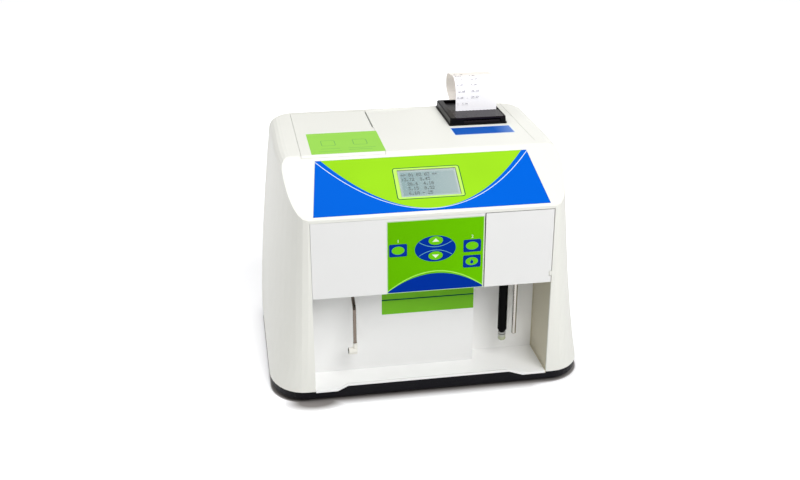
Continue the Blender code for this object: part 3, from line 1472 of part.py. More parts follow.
def make_probes():
    """The probes hang in the holder's holes by their caps, with their leads behind."""
    y = back(PROBE_DEPTH)
    shelf = HOLDER_HEIGHT + HOLDER_THICK
    cap_low = up(shelf) + GAP
    cap_high = cap_low + CAP_HEIGHT
    solid("ph_probe", turned("Z", PH_X, y, [
        (PH_BULB * 0.5, up(PH_END) - PH_CHAMFER * 2.6), (PH_BULB, up(PH_END) - PH_CHAMFER * 2),
        (PH_BULB, up(PH_END) - PH_CHAMFER * 0.4), (PH_RADIUS - PH_CHAMFER / 2, up(PH_END)),
        (PH_RADIUS, up(PH_END) + PH_CHAMFER), (PH_RADIUS, cap_low), (CAP_RADIUS, cap_low),
        (CAP_RADIUS, cap_high - CAP_HEIGHT / 4), (CAP_RADIUS * 0.6, cap_high)], sides=18), BLACK,
        smooth=30)
    ring = [(PH_BULB + GAP, up(PH_END) - PH_CHAMFER / 3),
            (PH_GUARD_RADIUS, up(PH_END) - PH_CHAMFER / 3),
            (PH_GUARD_RADIUS, up(PH_GUARD_END) + PH_CHAMFER / 3),
            (PH_GUARD_RADIUS - PH_CHAMFER / 4, up(PH_GUARD_END)),
            (PH_BULB + GAP, up(PH_GUARD_END))]
    solid("ph_guard", turned("Z", PH_X, y, ring, sides=16, closed=True), CLEAR, smooth=40)
    solid("temperature_probe", turned("Z", TEMP_X, y, [
        (TEMP_RADIUS * 0.5, up(TEMP_END)), (TEMP_RADIUS, up(TEMP_END) + TEMP_RADIUS * 0.6),
        (TEMP_RADIUS, cap_low), (TEMP_CAP_RADIUS, cap_low),
        (TEMP_CAP_RADIUS, cap_high - CAP_HEIGHT / 4), (TEMP_RADIUS, cap_high)], sides=16), STEEL,
        smooth=30)
    rear = PROBE_BAY_DEPTH - GAP
    holder = solid("probe_holder", box(
        (PH_X - CAP_RADIUS - HOLDER_MARGIN, back(HOLDER_FRONT), up(HOLDER_HEIGHT)),
        (TEMP_X + TEMP_CAP_RADIUS + HOLDER_MARGIN, back(rear), up(shelf))), WHITE)
    add(holder, box((PH_X - CAP_RADIUS, back(rear - HOLDER_THICK), up(shelf) - OVERRUN),
                    (TEMP_X + TEMP_CAP_RADIUS, back(rear) - GAP / 3, up(shelf + HOLDER_MARGIN))))
    cut(holder, *[rod("Z", x, y, radius + GAP, up(HOLDER_HEIGHT) - OVERRUN, up(shelf) + OVERRUN)
                  for x, radius in ((PH_X, PH_RADIUS), (TEMP_X, TEMP_RADIUS))])
    for name, x, plug in (("ph", PH_X, 1), ("temperature", TEMP_X, 0)):
        behind = back(PROBE_BAY_DEPTH + LEAD_BEHIND)
        end = lead_plug(plug)
        low = end.z + LEAD_RISE
        run = bent_run([(x, y, cap_high + GAP), (x, y, up(lead_height())),
                        (x, behind, up(lead_height())), (x, behind, low + LEAD_RISE),
                        (end.x, end.y, low), end], LEAD_BEND)
        tube(f"{name}_lead", run, LEAD_RADIUS, RUBBER, sides_level=1)


def lead_plug(place):
    """Where a probe's lead meets its plug on the main board."""
    x = MAIN_BOARD_X + MAIN_BOARD_WIDTH / 2 - PLUG_SIZE * (1 + 2 * place)
    y = back(MAIN_BOARD_DEPTH - MAIN_BOARD_LENGTH / 2 + PLUG_SIZE)
    return Vector((x, y, board_low() + BOARD_THICK + PLUG_SIZE + GAP))


def board_low():
    return FOOT_HEIGHT + BASE_FLOOR + STANDOFF + GAP


# Rear panel and what it carries

def rear_plate():
    """The plate's outer and inner faces, as depths."""
    outer = BODY_DEPTH - WALL - GAP
    return outer, outer - SHEET


def make_rear_panel():
    outer, inner = rear_plate()
    half = REAR_WIDTH / 2
    low = FOOT_HEIGHT + BASE_FLOOR + OVERRUN + GAP
    panel = solid("rear_panel", box((-half, back(inner), low), (half, back(outer), up(REAR_TOP))),
                  BLACK)
    through = (back(inner - OVERRUN), back(outer + OVERRUN))
    inlet = round_box(INLET_X - INLET_WIDTH / 2 - GAP, up(INLET_HEIGHT) - INLET_TALL / 2 - GAP,
                      INLET_X + INLET_WIDTH / 2 + GAP, up(INLET_HEIGHT) + INLET_TALL / 2 + GAP,
                      INLET_CORNER)
    switch = rect(SWITCH_X, up(INLET_HEIGHT), ROCKER_WIDTH / 2 + INLET_LIP + GAP,
                  ROCKER_TALL / 2 + INLET_LIP + GAP)
    serial = rect(SERIAL_X, up(INLET_HEIGHT), SERIAL_SHELL / 2 + 2 * GAP,
                  SERIAL_SHELL_TALL / 2 + 2 * GAP)
    cut(panel, prism("Y", inlet, *through), prism("Y", switch, *through),
        prism("Y", serial, *through))
    cut(panel, *fan_slots(*through))
    return panel


def rect(u, v, half_u, half_v):
    return [(u - half_u, v - half_v), (u + half_u, v - half_v), (u + half_u, v + half_v),
            (u - half_u, v + half_v)]


def fan_slots(low, high):
    """Upright slots whose ends follow the fan's circle."""
    slots = []
    pitch = FAN_SLOT + FAN_BAR
    for i in range(FAN_GRILLE_SLOTS):
        shift = (i - (FAN_GRILLE_SLOTS - 1) / 2) * pitch
        left, right = shift - FAN_SLOT / 2, shift + FAN_SLOT / 2
        reach = [math.sqrt(max(FAN_BORE ** 2 - edge ** 2, 0.0)) for edge in (left, right)]
        middle = up(FAN_HEIGHT)
        outline = [(FAN_X + left, middle - reach[0]), (FAN_X + right, middle - reach[1]),
                   (FAN_X + right, middle + reach[1]), (FAN_X + left, middle + reach[0])]
        slots.append(prism("Y", outline, low, high))
    return slots


def make_inlet():
    """The mains inlet: a flanged socket body with three pins standing in its mouth."""
    outer, inner = rear_plate()
    lip = outer + GAP
    z = up(INLET_HEIGHT)

    def plan(grow):
        return round_box(INLET_X - INLET_WIDTH / 2 - grow, z - INLET_TALL / 2 - grow,
                         INLET_X + INLET_WIDTH / 2 + grow, z + INLET_TALL / 2 + grow, INLET_CORNER)

    inlet = solid("power_inlet", prism("Y", plan(INLET_FLANGE), back(lip), back(lip + INLET_LIP)),
                  BLACK)
    add(inlet, prism("Y", plan(0.0), back(lip - INLET_BODY), back(lip + INLET_LIP / 2)))
    cut(inlet, prism("Y", plan(-INLET_LIP), back(lip - INLET_MOUTH), back(lip + 2 * INLET_LIP)))
    spread, rise, half = INLET_WIDTH / 4, INLET_PIN * 1.5, INLET_PIN * 1.5
    add(inlet, *[box((INLET_X + x - INLET_PIN, back(lip - INLET_MOUTH - OVERRUN), z + lift - half),
                     (INLET_X + x + INLET_PIN, back(lip - INLET_LIP), z + lift + half))
                 for x, lift in ((-spread, -rise), (0.0, rise), (spread, -rise))])
    return inlet


def make_power_switch():
    outer, inner = rear_plate()
    lip = outer + GAP
    z = up(INLET_HEIGHT)
    case = solid("switch_case", prism("Y", rect(SWITCH_X, z, ROCKER_WIDTH / 2 + 2 * INLET_LIP,
                                                ROCKER_TALL / 2 + 2 * INLET_LIP),
                                      back(lip), back(lip + INLET_LIP)), BLACK)
    add(case, prism("Y", rect(SWITCH_X, z, ROCKER_WIDTH / 2 + INLET_LIP,
                              ROCKER_TALL / 2 + INLET_LIP),
                    back(lip - INLET_MOUTH), back(lip + INLET_LIP / 2)))
    room = SLIDE_GAP
    deep = INLET_MOUTH - INLET_LIP
    cut(case, prism("Y", rect(SWITCH_X, z, ROCKER_WIDTH / 2 + room, ROCKER_TALL / 2 + room * 2),
                    back(lip - deep), back(lip + 2 * INLET_LIP)))
    axis = lip - ROCKER_TALL / 6
    pin = ROCKER_TALL / 20
    cut(case, rod("X", back(axis), z, pin + RUN_FIT, SWITCH_X - ROCKER_WIDTH,
                  SWITCH_X + ROCKER_WIDTH))
    rise = ROCKER_TALL / 2 - room
    crown, flare = ROCKER_TALL / 6, ROCKER_TALL / 50
    foot = ROCKER_TALL / 10
    places = [(crown, 0.0), (crown + flare, rise), (-foot, rise), (-2 * foot, 0.0),
              (-foot, -rise), (crown + flare, -rise)]
    cosine, sine = math.cos(math.radians(ROCKER_ANGLE)), math.sin(math.radians(ROCKER_ANGLE))
    outline = [(back(axis + out * cosine + rise * sine), z + rise * cosine - out * sine)
               for out, rise in places]
    half = ROCKER_WIDTH / 2
    rocker = solid("power_rocker", prism("X", outline, SWITCH_X - half, SWITCH_X + half), RED,
                   pivot=(SWITCH_X, back(axis), z))
    reach = half + room + INLET_LIP / 2
    add(rocker, rod("X", back(axis), z, pin, SWITCH_X - reach, SWITCH_X + reach))
    return rocker


def make_serial_port():
    outer, inner = rear_plate()
    z = up(INLET_HEIGHT)
    back_face = inner - GAP
    port = solid("serial_port", prism("Y", rect(SERIAL_X, z, SERIAL_WIDTH / 2, SERIAL_TALL / 2),
                                      back(back_face - INLET_PIN), back(back_face)), STEEL)
    half, tall, lean = SERIAL_SHELL / 2, SERIAL_SHELL_TALL / 2, INLET_PIN
    shell = [(SERIAL_X - half + lean, z - tall), (SERIAL_X + half - lean, z - tall),
             (SERIAL_X + half, z + tall), (SERIAL_X - half, z + tall)]
    add(port, prism("Y", shell, back(back_face - INLET_PIN / 2), back(outer + WALL)))
    rim = INLET_PIN
    mouth = [(SERIAL_X - half + 2 * lean, z - tall + rim),
             (SERIAL_X + half - 2 * lean, z - tall + rim),
             (SERIAL_X + half - rim, z + tall - rim), (SERIAL_X - half + rim, z + tall - rim)]
    cut(port, prism("Y", mouth, back(outer - INLET_PIN), back(outer + 2 * WALL)))
    add(port, prism("Y", rect(SERIAL_X, z, SERIAL_SHELL / 2, SERIAL_SHELL_TALL / 2),
                    back(back_face - 8 * INLET_PIN), back(back_face - INLET_PIN / 2)))
    return port


def make_fan():
    outer, inner = rear_plate()
    face = inner - GAP
    rear = face - FAN_THICK
    x, z = FAN_X, up(FAN_HEIGHT)
    half = FAN_SIZE / 2
    frame = solid("fan_frame", prism("Y", round_box(x - half, z - half, x + half, z + half,
                                                    REAR_CORNER_CUT / 2, 2), back(rear), back(face)),
                  BLACK)
    spider = 3 * GAP + OVERRUN
    cut(frame, rod("Y", x, z, FAN_BORE, back(rear + spider), back(face + OVERRUN), sides=24))
    room = FAN_HUB + OVERRUN
    windows = []
    for i in range(4):
        start = math.radians(90 * i + 8)
        end = math.radians(90 * i + 82)
        turns = [start + (end - start) * k / 4 for k in range(5)]
        reach = FAN_BORE - OVERRUN / 4
        outline = [(x + reach * math.cos(t), z + reach * math.sin(t)) for t in turns]
        outline += [(x + room * math.cos(t), z + room * math.sin(t)) for t in reversed(turns)]
        windows.append(prism("Y", outline, back(rear - OVERRUN), back(rear + spider + OVERRUN)))
    cut(frame, *windows)
    pin = FAN_HUB / 6
    add(frame, rod("Y", x, z, pin, back(rear + spider / 2), back(rear + FAN_THICK / 2), sides=10))
    start, end = rear + spider + GAP, face - OVERRUN
    pivot = (x, back(start), z)
    rotor = solid("fan_rotor", turned("Y", x, z, [
        (FAN_HUB - OVERRUN, back(start)), (FAN_HUB, back(start + OVERRUN)),
        (FAN_HUB, back(end - OVERRUN)), (FAN_HUB - OVERRUN, back(end))], sides=16), GREY,
        pivot=pivot, smooth=30)
    blades = []
    for i in range(FAN_BLADES):
        blades.append(fan_blade(x, z, math.tau * i / FAN_BLADES, start + OVERRUN, end - OVERRUN))
    add(rotor, *blades)
    cut(rotor, rod("Y", x, z, pin + RUN_FIT, back(start - OVERRUN), back(rear + FAN_THICK / 2 + GAP),
                   sides=14))
    return rotor


def fan_blade(x, z, turn, start, end):
    """A swept blade: a thin slab that turns as it goes from one face to the other."""
    rings = []
    sweep = math.radians(32)
    thick = 0.05
    for share in (0.0, 0.5, 1.0):
        along = start + (end - start) * share
        angle = turn + sweep * share
        ring = []
        for radius, side in ((FAN_HUB - OVERRUN, -1), (FAN_BORE - OVERRUN, -0.5),
                             (FAN_BORE - OVERRUN, 0.5), (FAN_HUB - OVERRUN, 1)):
            place = angle + side * thick
            ring.append((x + radius * math.cos(place), back(along), z + radius * math.sin(place)))
        rings.append(ring)
    blade = loft(rings)
    bmesh.ops.triangulate(blade, faces=blade.faces)
    return blade


# Inside the body

def make_inner_works():
    floor = FOOT_HEIGHT + BASE_FLOOR
    low = board_low()
    half, deep = MAIN_BOARD_WIDTH / 2, MAIN_BOARD_LENGTH / 2
    y = back(MAIN_BOARD_DEPTH)
    board = solid("main_board", box((MAIN_BOARD_X - half, y - deep, low),
                                    (MAIN_BOARD_X + half, y + deep, low + BOARD_THICK)), BOARD)
    chip = SWITCH_SIZE
    chips = []
    for u, v, size in CHIP_SHARES:
        cx, cy, reach = MAIN_BOARD_X + u * half, y + v * deep, chip * size
        chips.append(box((cx - reach, cy - reach, low + BOARD_THICK / 2),
                         (cx + reach, cy + reach, low + BOARD_THICK + SWITCH_BODY * size)))
    add(board, *chips)
    plug = PLUG_SIZE * PLUG_FILL_SHARE
    add(board, *[box(lead_plug(place) - Vector((plug, plug, PLUG_SIZE + BOARD_THICK)),
                     lead_plug(place) + Vector((plug, plug, -GAP)))
                 for place in (0, 1)])
    half, deep = SUPPLY_WIDTH / 2, SUPPLY_LENGTH / 2
    supply = solid("power_supply", box((SUPPLY_X - half, back(SUPPLY_DEPTH) - deep, floor + GAP),
                                       (SUPPLY_X + half, back(SUPPLY_DEPTH) + deep,
                                        floor + SUPPLY_TALL)), STEEL)
    step = supply.modifiers.new("Edges", "BEVEL")
    step.width = BASE_CHAMFER / 2
    step.segments = 1
    x, y = CELL_X, back(CELL_DEPTH)
    start = floor + CELL_STAND + GAP
    end = start + CELL_TALL
    cell = solid("sensor_cell", box((x - CELL_WIDTH / 2, y - CELL_LENGTH / 2, start),
                                    (x + CELL_WIDTH / 2, y + CELL_LENGTH / 2, end)), STEEL)
    middle = (start + end) / 2
    reach = CELL_WIDTH / 2 + TRANSDUCER_LENGTH
    add(cell, rod("X", y, middle, TRANSDUCER_RADIUS, x - reach, x + reach, sides=16))
    add(cell, *[rod("Z", x + side * CELL_WIDTH / 4, y, HOSE_RADIUS * 0.6, end - OVERRUN,
                    end + HOSE_RADIUS, sides=10) for side in (-1, 1)])
    make_hoses(x, y, end + HOSE_RADIUS + GAP)


# How far a plug fills the room its lead leaves it
PLUG_FILL_SHARE = 0.9

# Chips on the main board: place as a share of the board's halves, and a size
CHIP_SHARES = [(-0.5, 0.3, 2.2), (0.1, -0.4, 1.4), (0.55, 0.45, 1.8), (-0.6, -0.55, 1.1)]


def make_hoses(x, y, low):
    """Silicone hoses from the sample tube to the cell and from the cell to the pump."""
    start = Vector((TUBE_X, back(BAY_DEPTH + 3 * BAY_WALL) + GAP, up(TUBE_EXIT)))
    port = Vector((x - CELL_WIDTH / 4, y, low))
    rise = Vector((0, 0, CELL_TALL))
    lead = Vector((0, HOSE_LEAD, 0))
    run = bent_run([start, start + lead, port + rise, port], HOSE_BEND)
    tube("feed_hose", run, HOSE_RADIUS, SILICONE, sides_level=1)
    port = Vector((x + CELL_WIDTH / 4, y, low))
    end = Vector((pump_x() + hose_orbit(), back(TUB_REAR + 2 * TUB_WALL) + GAP, up(hose_height())))
    drop = Vector((0, 0, up(hose_height()) - (low + CELL_TALL)))
    run = bent_run([port, port + rise, port + rise + 5 * lead, end + lead - drop, end + lead, end],
                   HOSE_BEND)
    tube("pump_link_hose", run, HOSE_RADIUS, SILICONE, sides_level=1)


# Building the whole device

for old in list(bpy.data.objects):
    bpy.data.objects.remove(old, do_unlink=True)

GUIDE = material("guide", (0.8, 0.3, 0.8), 1.0)
WHITE = material("warm_white_abs", (0.86, 0.86, 0.83), 0.42)
BLACK = material("black_plastic", (0.015, 0.015, 0.018), 0.45)
GREY = material("grey_plastic", (0.35, 0.36, 0.37), 0.5)
CREAM = material("cream_plastic", (0.82, 0.80, 0.74), 0.45)
RUBBER = material("black_rubber", (0.02, 0.02, 0.02), 0.8)
STEEL = material("stainless_steel", (0.62, 0.61, 0.59), 0.28, metallic=1.0)
GREEN = material("keypad_print", (0.12, 0.53, 0.01), 0.4)
BLUE = material("blue_print", (0.0, 0.14, 0.72), 0.35)
BOARD = material("circuit_board", (0.02, 0.22, 0.08), 0.5)
GLASS = material("display_lens", (0.55, 0.63, 0.60), 0.1, alpha=0.4)
CLEAR = material("clear_guard", (0.85, 0.85, 0.83), 0.15, alpha=0.5)
SMOKE = material("smoked_plastic", (0.05, 0.03, 0.05), 0.2)
PAPER = material("thermal_paper", (0.92, 0.92, 0.93), 0.6)
SILICONE = material("silicone", (0.78, 0.78, 0.75), 0.4)
RED = material("red_rocker", (0.6, 0.02, 0.02), 0.3)

make_housing()
make_base()
make_feet()
make_sample_bay()
make_control_panel()
make_keypad()
make_keypad_board()
make_door()
make_display()
make_hatch()
make_tub()
make_pump_track()
make_pump_hose()
make_rotor()
make_pump_motor()
make_bezel()
make_cover()
make_print_head()
make_paper_door()
make_platen()
make_bin()
make_paper()
make_intake()
make_probes()
make_rear_panel()
make_inlet()
make_power_switch()
make_serial_port()
make_fan()
make_inner_works()
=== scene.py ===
"""Dresses the bench-top milk analyzer: films, labels, screws, materials, light and camera."""
import math

import bmesh
import bpy
from mathutils import Matrix, Vector


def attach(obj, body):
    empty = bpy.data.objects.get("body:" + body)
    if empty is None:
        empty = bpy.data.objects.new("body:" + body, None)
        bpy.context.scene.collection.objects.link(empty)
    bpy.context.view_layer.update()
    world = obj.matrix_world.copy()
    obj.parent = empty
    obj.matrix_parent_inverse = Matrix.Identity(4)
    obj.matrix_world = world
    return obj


bl_info = {
    "name": "Milk Analyzer Dressing",
    "version": (1, 0, 0),
    "blender": (4, 5, 0),
    "location": "View3D > Sidebar > Analyzer",
    "description": "Finishes, printed films, labels, screws and studio of a milk analyzer",
    "category": "Object",
}

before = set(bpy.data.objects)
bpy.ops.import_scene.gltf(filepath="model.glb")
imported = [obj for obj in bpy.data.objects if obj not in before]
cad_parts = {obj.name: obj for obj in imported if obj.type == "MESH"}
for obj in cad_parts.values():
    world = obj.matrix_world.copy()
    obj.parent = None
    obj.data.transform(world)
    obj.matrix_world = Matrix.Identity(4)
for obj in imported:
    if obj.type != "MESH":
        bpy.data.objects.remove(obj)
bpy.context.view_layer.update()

# Places shared with the solids, in metres
FRONT = -0.149
SILL = 0.0134
BASE_HALF = (0.204, 0.148)
BASE_CORNER = 0.050
PAN_BOTTOM = 0.004
SLOPE_FOOT = 0.2339
CREASE_DEPTH = 0.092
TOP_HEIGHT = 0.2845
SLOPE_ANGLE = math.atan2(TOP_HEIGHT - SLOPE_FOOT, CREASE_DEPTH)
WINDOW = (-0.0359, 0.0277, 0.0383, 0.0720)
WINDOW_FRAME = (-0.0410, 0.0247, 0.0424, 0.0750)
LCD_SINK = 0.0013
LCD_EDGE = 0.0029
BAY_WALL_DEPTH = 0.0463
BAY_STEP = 0.0625
BAY_RIGHT = 0.1490
SLIT = 0.0630
DOOR_HEAD = 0.24285
KEY_LEFT, KEY_RIGHT, PAD_MIDDLE = -0.0447, 0.0470, 0.0016
KEY_ROW, CLEAN_ROW, UP_ROW, DOWN_ROW = 0.1883, 0.1675, 0.1982, 0.1784
HATCH_TOP = SILL + TOP_HEIGHT
PUMP_X, PUMP_DEPTH = -0.098, 0.183
TRACK_TOP = 0.2148
TRACK_SCREW = 0.030
PAPER_X = 0.102
PAPER_FACE = 0.2228
PAPER_SLOT = 0.2949
PAPER_STAND = 0.3167
CURLS = ((0.0208, 89.0), (0.1350, 14.0))
REAR_WALL, REAR_PLATE = 0.298, 0.2947
FAN_X, FAN_HEIGHT, FAN_SCREW = -0.078, 0.082, 0.025
WALL_SCREW_X, WALL_SCREW_HEIGHTS = 0.1270, (0.0200, 0.1380)
PAN_SCREW_X, PAN_SCREW_DEPTHS = 0.120, (0.060, 0.270)

# Sizes of the dressing, in metres
FILM_SKIN = 0.00012
SEAT = 0.00003
LABEL_CORNER = 0.0004
DOT_THICK = 0.00004
SHARP_EDGE = 0.00012
INK_EDGE = 0.0003
BAY_LABEL = (-0.0584, 0.0795, 0.0620, 0.1420)
HATCH_LABEL = (-0.1374, 0.0936, -0.0440, 0.1800)
PRINTER_LABEL = (0.0550, 0.1420, 0.1364, 0.1744)
KEYPAD_FILM_EDGES = (-0.0580, 0.1315, 0.0615, 0.2262)

# The labels' grain: its scale, the roughness it adds, and their shine
LABEL_FINISH = (1200.0, 0.12, 0.03)

# Printed curves: foot or top, rise at the reach, reach and power
BOWL = (0.0038, 0.0262, 0.0700, 1.97)
BRIM = (0.0033, 0.0467, 0.1004, 2.02)
DOME = (0.1549, -0.0214, 0.0600, 2.0)
ARCH = (0.1578, -0.0243, 0.0600, 2.0)

# Sizes that the trees take
DOT_SIZES = ("Dot width", "Dot height", "Dot thickness")
HEAD_SIZES = ("Head radius", "Head height")

# The photograph's camera: place; yaw, pitch and roll in radians; lens in millimetres
CAMERA_PLACE = (-0.234067, -1.286575, 0.705961)
CAMERA_TURN = (0.166971, 0.401915, 0.0019825)
CAMERA_LENS = 46.938

# Soft boxes: place, size and share of the key light's power
LIGHT_AIM = (0.0, 0.0, 0.14)
SOFT_BOXES = {
    "key_box": ((0.62, -1.55, 1.88), 1.5, 1.0),
    "top_box": ((-0.45, 0.2, 2.2), 1.6, 0.42),
    "left_box": ((-2.0, 0.5, 1.5), 1.5, 0.25),
    "back_box": ((0.9, 2.0, 0.45), 1.0, 0.10),
}


def back(depth):
    """The Y of a place that lies depth behind the front face."""
    return FRONT + depth


def up(height):
    """The Z of a place that lies height above the sill."""
    return SILL + height


def linear(red, green, blue):
    """A colour written in screen values from 0 to 255, as the shaders need it."""
    def channel(value):
        share = value / 255
        return share / 12.92 if share <= 0.04045 else ((share + 0.055) / 1.055) ** 2.4
    return (channel(red), channel(green), channel(blue))


class AnalyzerLook(bpy.types.PropertyGroup):
    """Colours and sizes that a user would change."""

    def tint(name, words, red, green, blue):
        return bpy.props.FloatVectorProperty(name=name, description=words, subtype="COLOR",
                                             size=3, min=0.0, max=1.0,
                                             default=linear(red, green, blue))

    shell: tint("Shell", "Warm white of the mouldings", 240, 240, 233)
    liner: tint("Liner", "White of the sample bay", 253, 253, 252)
    fascia: tint("Fascia", "White of the control panel and the probe door", 238, 238, 237)
    base: tint("Base", "Black of the base pan", 12, 11, 17)
    lime: tint("Lime", "Light green of the display film", 157, 221, 34)
    sky: tint("Display blue", "Blue of the display film", 0, 98, 216)
    leaf: tint("Keypad green", "Green of the keypad film", 102, 187, 0)
    key_blue: tint("Key blue", "Blue of the keys and the dome", 0, 50, 160)
    bay_green: tint("Bay label", "Green of the label in the bay", 128, 206, 50)
    pale_green: tint("Hatch label", "Light green of the hatch label", 156, 216, 88)
    top_blue: tint("Printer label", "Blue of the label by the printer", 20, 88, 182)
    glass: tint("Display", "Grey green of the display", 118, 150, 152)
    ink: tint("Ink", "Dark dots of the display", 16, 30, 32)
    paper: tint("Paper", "White of the receipt paper", 248, 247, 251)
    dot: bpy.props.FloatProperty(name="Display dot", description="Width of a display dot",
                                 default=0.00055, min=0.0002, max=0.002, unit="LENGTH")
    screw: bpy.props.FloatProperty(name="Screw head", description="Radius of a screw head",
                                   default=0.0026, min=0.001, max=0.006, unit="LENGTH")
    key_light: bpy.props.FloatProperty(name="Key light", description="Power of the main soft box",
                                       default=39.5, min=0.0, max=500.0, unit="POWER")
    ambient: bpy.props.FloatProperty(name="Ambient", description="Level of the light all round",
                                     default=0.26, min=0.0, max=2.0)


# Nodes

def feed(tree, socket, value):
    """Sets a socket, or links it to an output or to each output of a list."""
    if isinstance(value, list):
        for output in value:
            feed(tree, socket, output)
    elif isinstance(value, (Value, bpy.types.NodeSocket)):
        tree.links.new(getattr(value, "socket", value), socket)
    elif isinstance(value, tuple) and len(value) == 3 and socket.type == "RGBA":
        socket.default_value = (*value, 1.0)
    else:
        socket.default_value = value


def add_node(tree, kind, settings=None, inputs=()):
    """Adds a node: its settings first, then the values or links of its sockets."""
    made = tree.nodes.new(kind)
    for key, value in (settings or {}).items():
        setattr(made, key, value)
    pairs = inputs.items() if isinstance(inputs, dict) else enumerate(inputs)
    for key, value in pairs:
        feed(tree, made.inputs[key], value)
    return made


class Value:
    """A shader socket that takes part in plain arithmetic."""

    def __init__(self, graph, socket):
        self.graph = graph
        self.socket = socket

    def apply(self, operation, *others, clamp=False):
        return self.graph.node("Math", {"operation": operation, "use_clamp": clamp},
                               [self, *others])

    def __add__(self, other):
        return self.apply("ADD", other)

    def __sub__(self, other):
        return self.apply("SUBTRACT", other)

    def __mul__(self, other):
        return self.apply("MULTIPLY", other)

    def __truediv__(self, other):
        return self.apply("DIVIDE", other)

    def __pow__(self, other):
        return self.apply("POWER", other)

    def __rsub__(self, other):
        return self.graph.node("Math", {"operation": "SUBTRACT"}, [other, self])

    def __abs__(self):
        return self.apply("ABSOLUTE")

    __radd__ = __add__
    __rmul__ = __mul__

    def at_least(self, other):
        return self.apply("MAXIMUM", other)

    def at_most(self, other):
        return self.apply("MINIMUM", other)

    def root(self):
        return self.apply("SQRT")

    def ramp(self, slope=1.0):
        """The value times a slope, held between 0 and 1."""
        return self.apply("MULTIPLY", slope, clamp=True)

    def over(self, limit, soft=SHARP_EDGE):
        """1 where the value is above the limit, with a narrow soft edge."""
        return (self - limit).apply("MULTIPLY_ADD", 1 / soft, 0.5, clamp=True)

    def under(self, limit, soft=SHARP_EDGE):
        return 1.0 - self.over(limit, soft)


class Graph:
    """A material's nodes."""

    def __init__(self, name):
        self.material = bpy.data.materials.new(name)
        self.material.use_nodes = True
        self.tree = self.material.node_tree
        self.shader = self.tree.nodes["Principled BSDF"]
        self.axes = None

    def node(self, kind, settings=None, inputs=(), output=0):
        """Adds a shader node and gives one of its outputs."""
        made = add_node(self.tree, f"ShaderNode{kind}", settings, inputs)
        return Value(self, made.outputs[output])

    def outputs(self, kind, inputs=()):
        """Adds a shader node and gives all its outputs by name."""
        made = add_node(self.tree, f"ShaderNode{kind}", None, inputs)
        return {socket.name: Value(self, socket) for socket in made.outputs}

    def set(self, **sockets):
        """Sets or links the shader's sockets, written with _ for a space."""
        for name, value in sockets.items():
            feed(self.tree, self.shader.inputs[name.replace("_", " ")], value)

    def place(self):
        """The X, Y and Z of the point on the piece."""
        if self.axes is None:
            spot = self.node("TexCoord", output="Object")
            self.axes = list(self.outputs("SeparateXYZ", [spot]).values())
        return self.axes

    def noise(self, scale, detail=2.0, stretch=(1.0, 1.0, 1.0)):
        spot = self.node("TexCoord", output="Object")
        spread = self.node("Mapping", inputs={"Vector": spot, "Scale": stretch})
        return self.node("TexNoise", inputs={"Vector": spread, "Scale": scale,
                                             "Detail": detail, "Roughness": 0.55})

    def mix(self, factor, first, second):
        return self.node("Mix", {"data_type": "RGBA"}, {0: factor, 6: first, 7: second}, 2)

    def bump(self, height, distance, **more):
        self.set(Normal=self.node("Bump", inputs={"Strength": 1.0, "Distance": distance,
                                                  "Height": height, **more}))

    def soft_edges(self, radius, height, distance):
        """Rounds the look of the corners and adds the grain on top."""
        self.bump(height, distance,
                  Normal=self.node("Bevel", {"samples": 4}, {"Radius": radius}))


def toned(colour, factor):
    """A colour made darker or lighter, up to full strength."""
    return tuple(min(channel * factor, 1.0) for channel in colour)


def rounded(u, v, half_u, half_v, corner):
    """The distance of (u, v) from the line of a rounded rectangle, below 0 inside."""
    across, along = abs(u) - (half_u - corner), abs(v) - (half_v - corner)
    outside = (across.at_least(0.0) ** 2.0 + along.at_least(0.0) ** 2.0).root()
    return outside + across.at_least(along).at_most(0.0) - corner


def oval(u, v, half_u, half_v):
    """How far out (u, v) lies, in shares of the way to an oval's line."""
    return ((u / half_u) ** 2.0 + (v / half_v) ** 2.0).root()


def sweep(x, foot, rise, reach, power):
    """A curve's height at x, and how steep it is there."""
    share = abs(x) / reach
    return foot + rise * share ** power, rise * power / reach * share ** (power - 1.0)


def off_line(height, line, steep):
    """The distance of a height from a line that is so steep."""
    return abs(height - line) / (1.0 + steep * steep).root()


def grained(name, colour, roughness, grain=0.00002, edge=0.0004, shine=0.4):
    """A moulding's graph with fine spark-eroded grain and soft corners, and its colour."""
    graph = Graph(name)
    fine, slow = graph.noise(2600.0, 3.0), graph.noise(9.0, 2.0)
    graph.set(Roughness=roughness - 0.06 + 0.12 * fine, Specular_IOR_Level=shine)
    graph.soft_edges(edge, fine, grain)
    return graph, graph.mix(slow, toned(colour, 0.97), tuple(colour))


def moulded(name, colour, roughness, grain=0.00002, edge=0.0004, shine=0.4):
    """Moulded plastic whose tone drifts slowly."""
    graph, tone = grained(name, colour, roughness, grain, edge, shine)
    graph.set(Base_Color=tone)
    return graph.material


def polished(name, colour, roughness, metallic=0.0, alpha=1.0, scratch=(1.0, 1.0, 1.0),
             shine=0.5):
    """Smooth material with faint hairline scratches along one way."""
    graph = Graph(name)
    lines, worn = graph.noise(900.0, 4.0, scratch), graph.noise(35.0, 2.0)
    graph.set(Base_Color=graph.mix(worn, colour, toned(colour, 0.9)),
              Roughness=roughness + 0.10 * lines, Metallic=metallic, Alpha=alpha,
              Specular_IOR_Level=shine)
    graph.bump(lines, 0.000006)
    return graph.material


def printed(graph, colour, scale=1400.0, rough=0.10, shine=0.02):
    """A printed film: faint grain and little shine."""
    grain = graph.noise(scale, 2.0)
    graph.set(Base_Color=colour, Roughness=0.42 + rough * grain, Specular_IOR_Level=shine)
    graph.bump(grain, 0.000008)
    return graph.material


def dress(material, *nodes):
    """Gives a material to the solids of these names."""
    for node in nodes:
        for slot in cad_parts[node].material_slots:
            slot.material = material


# Meshes

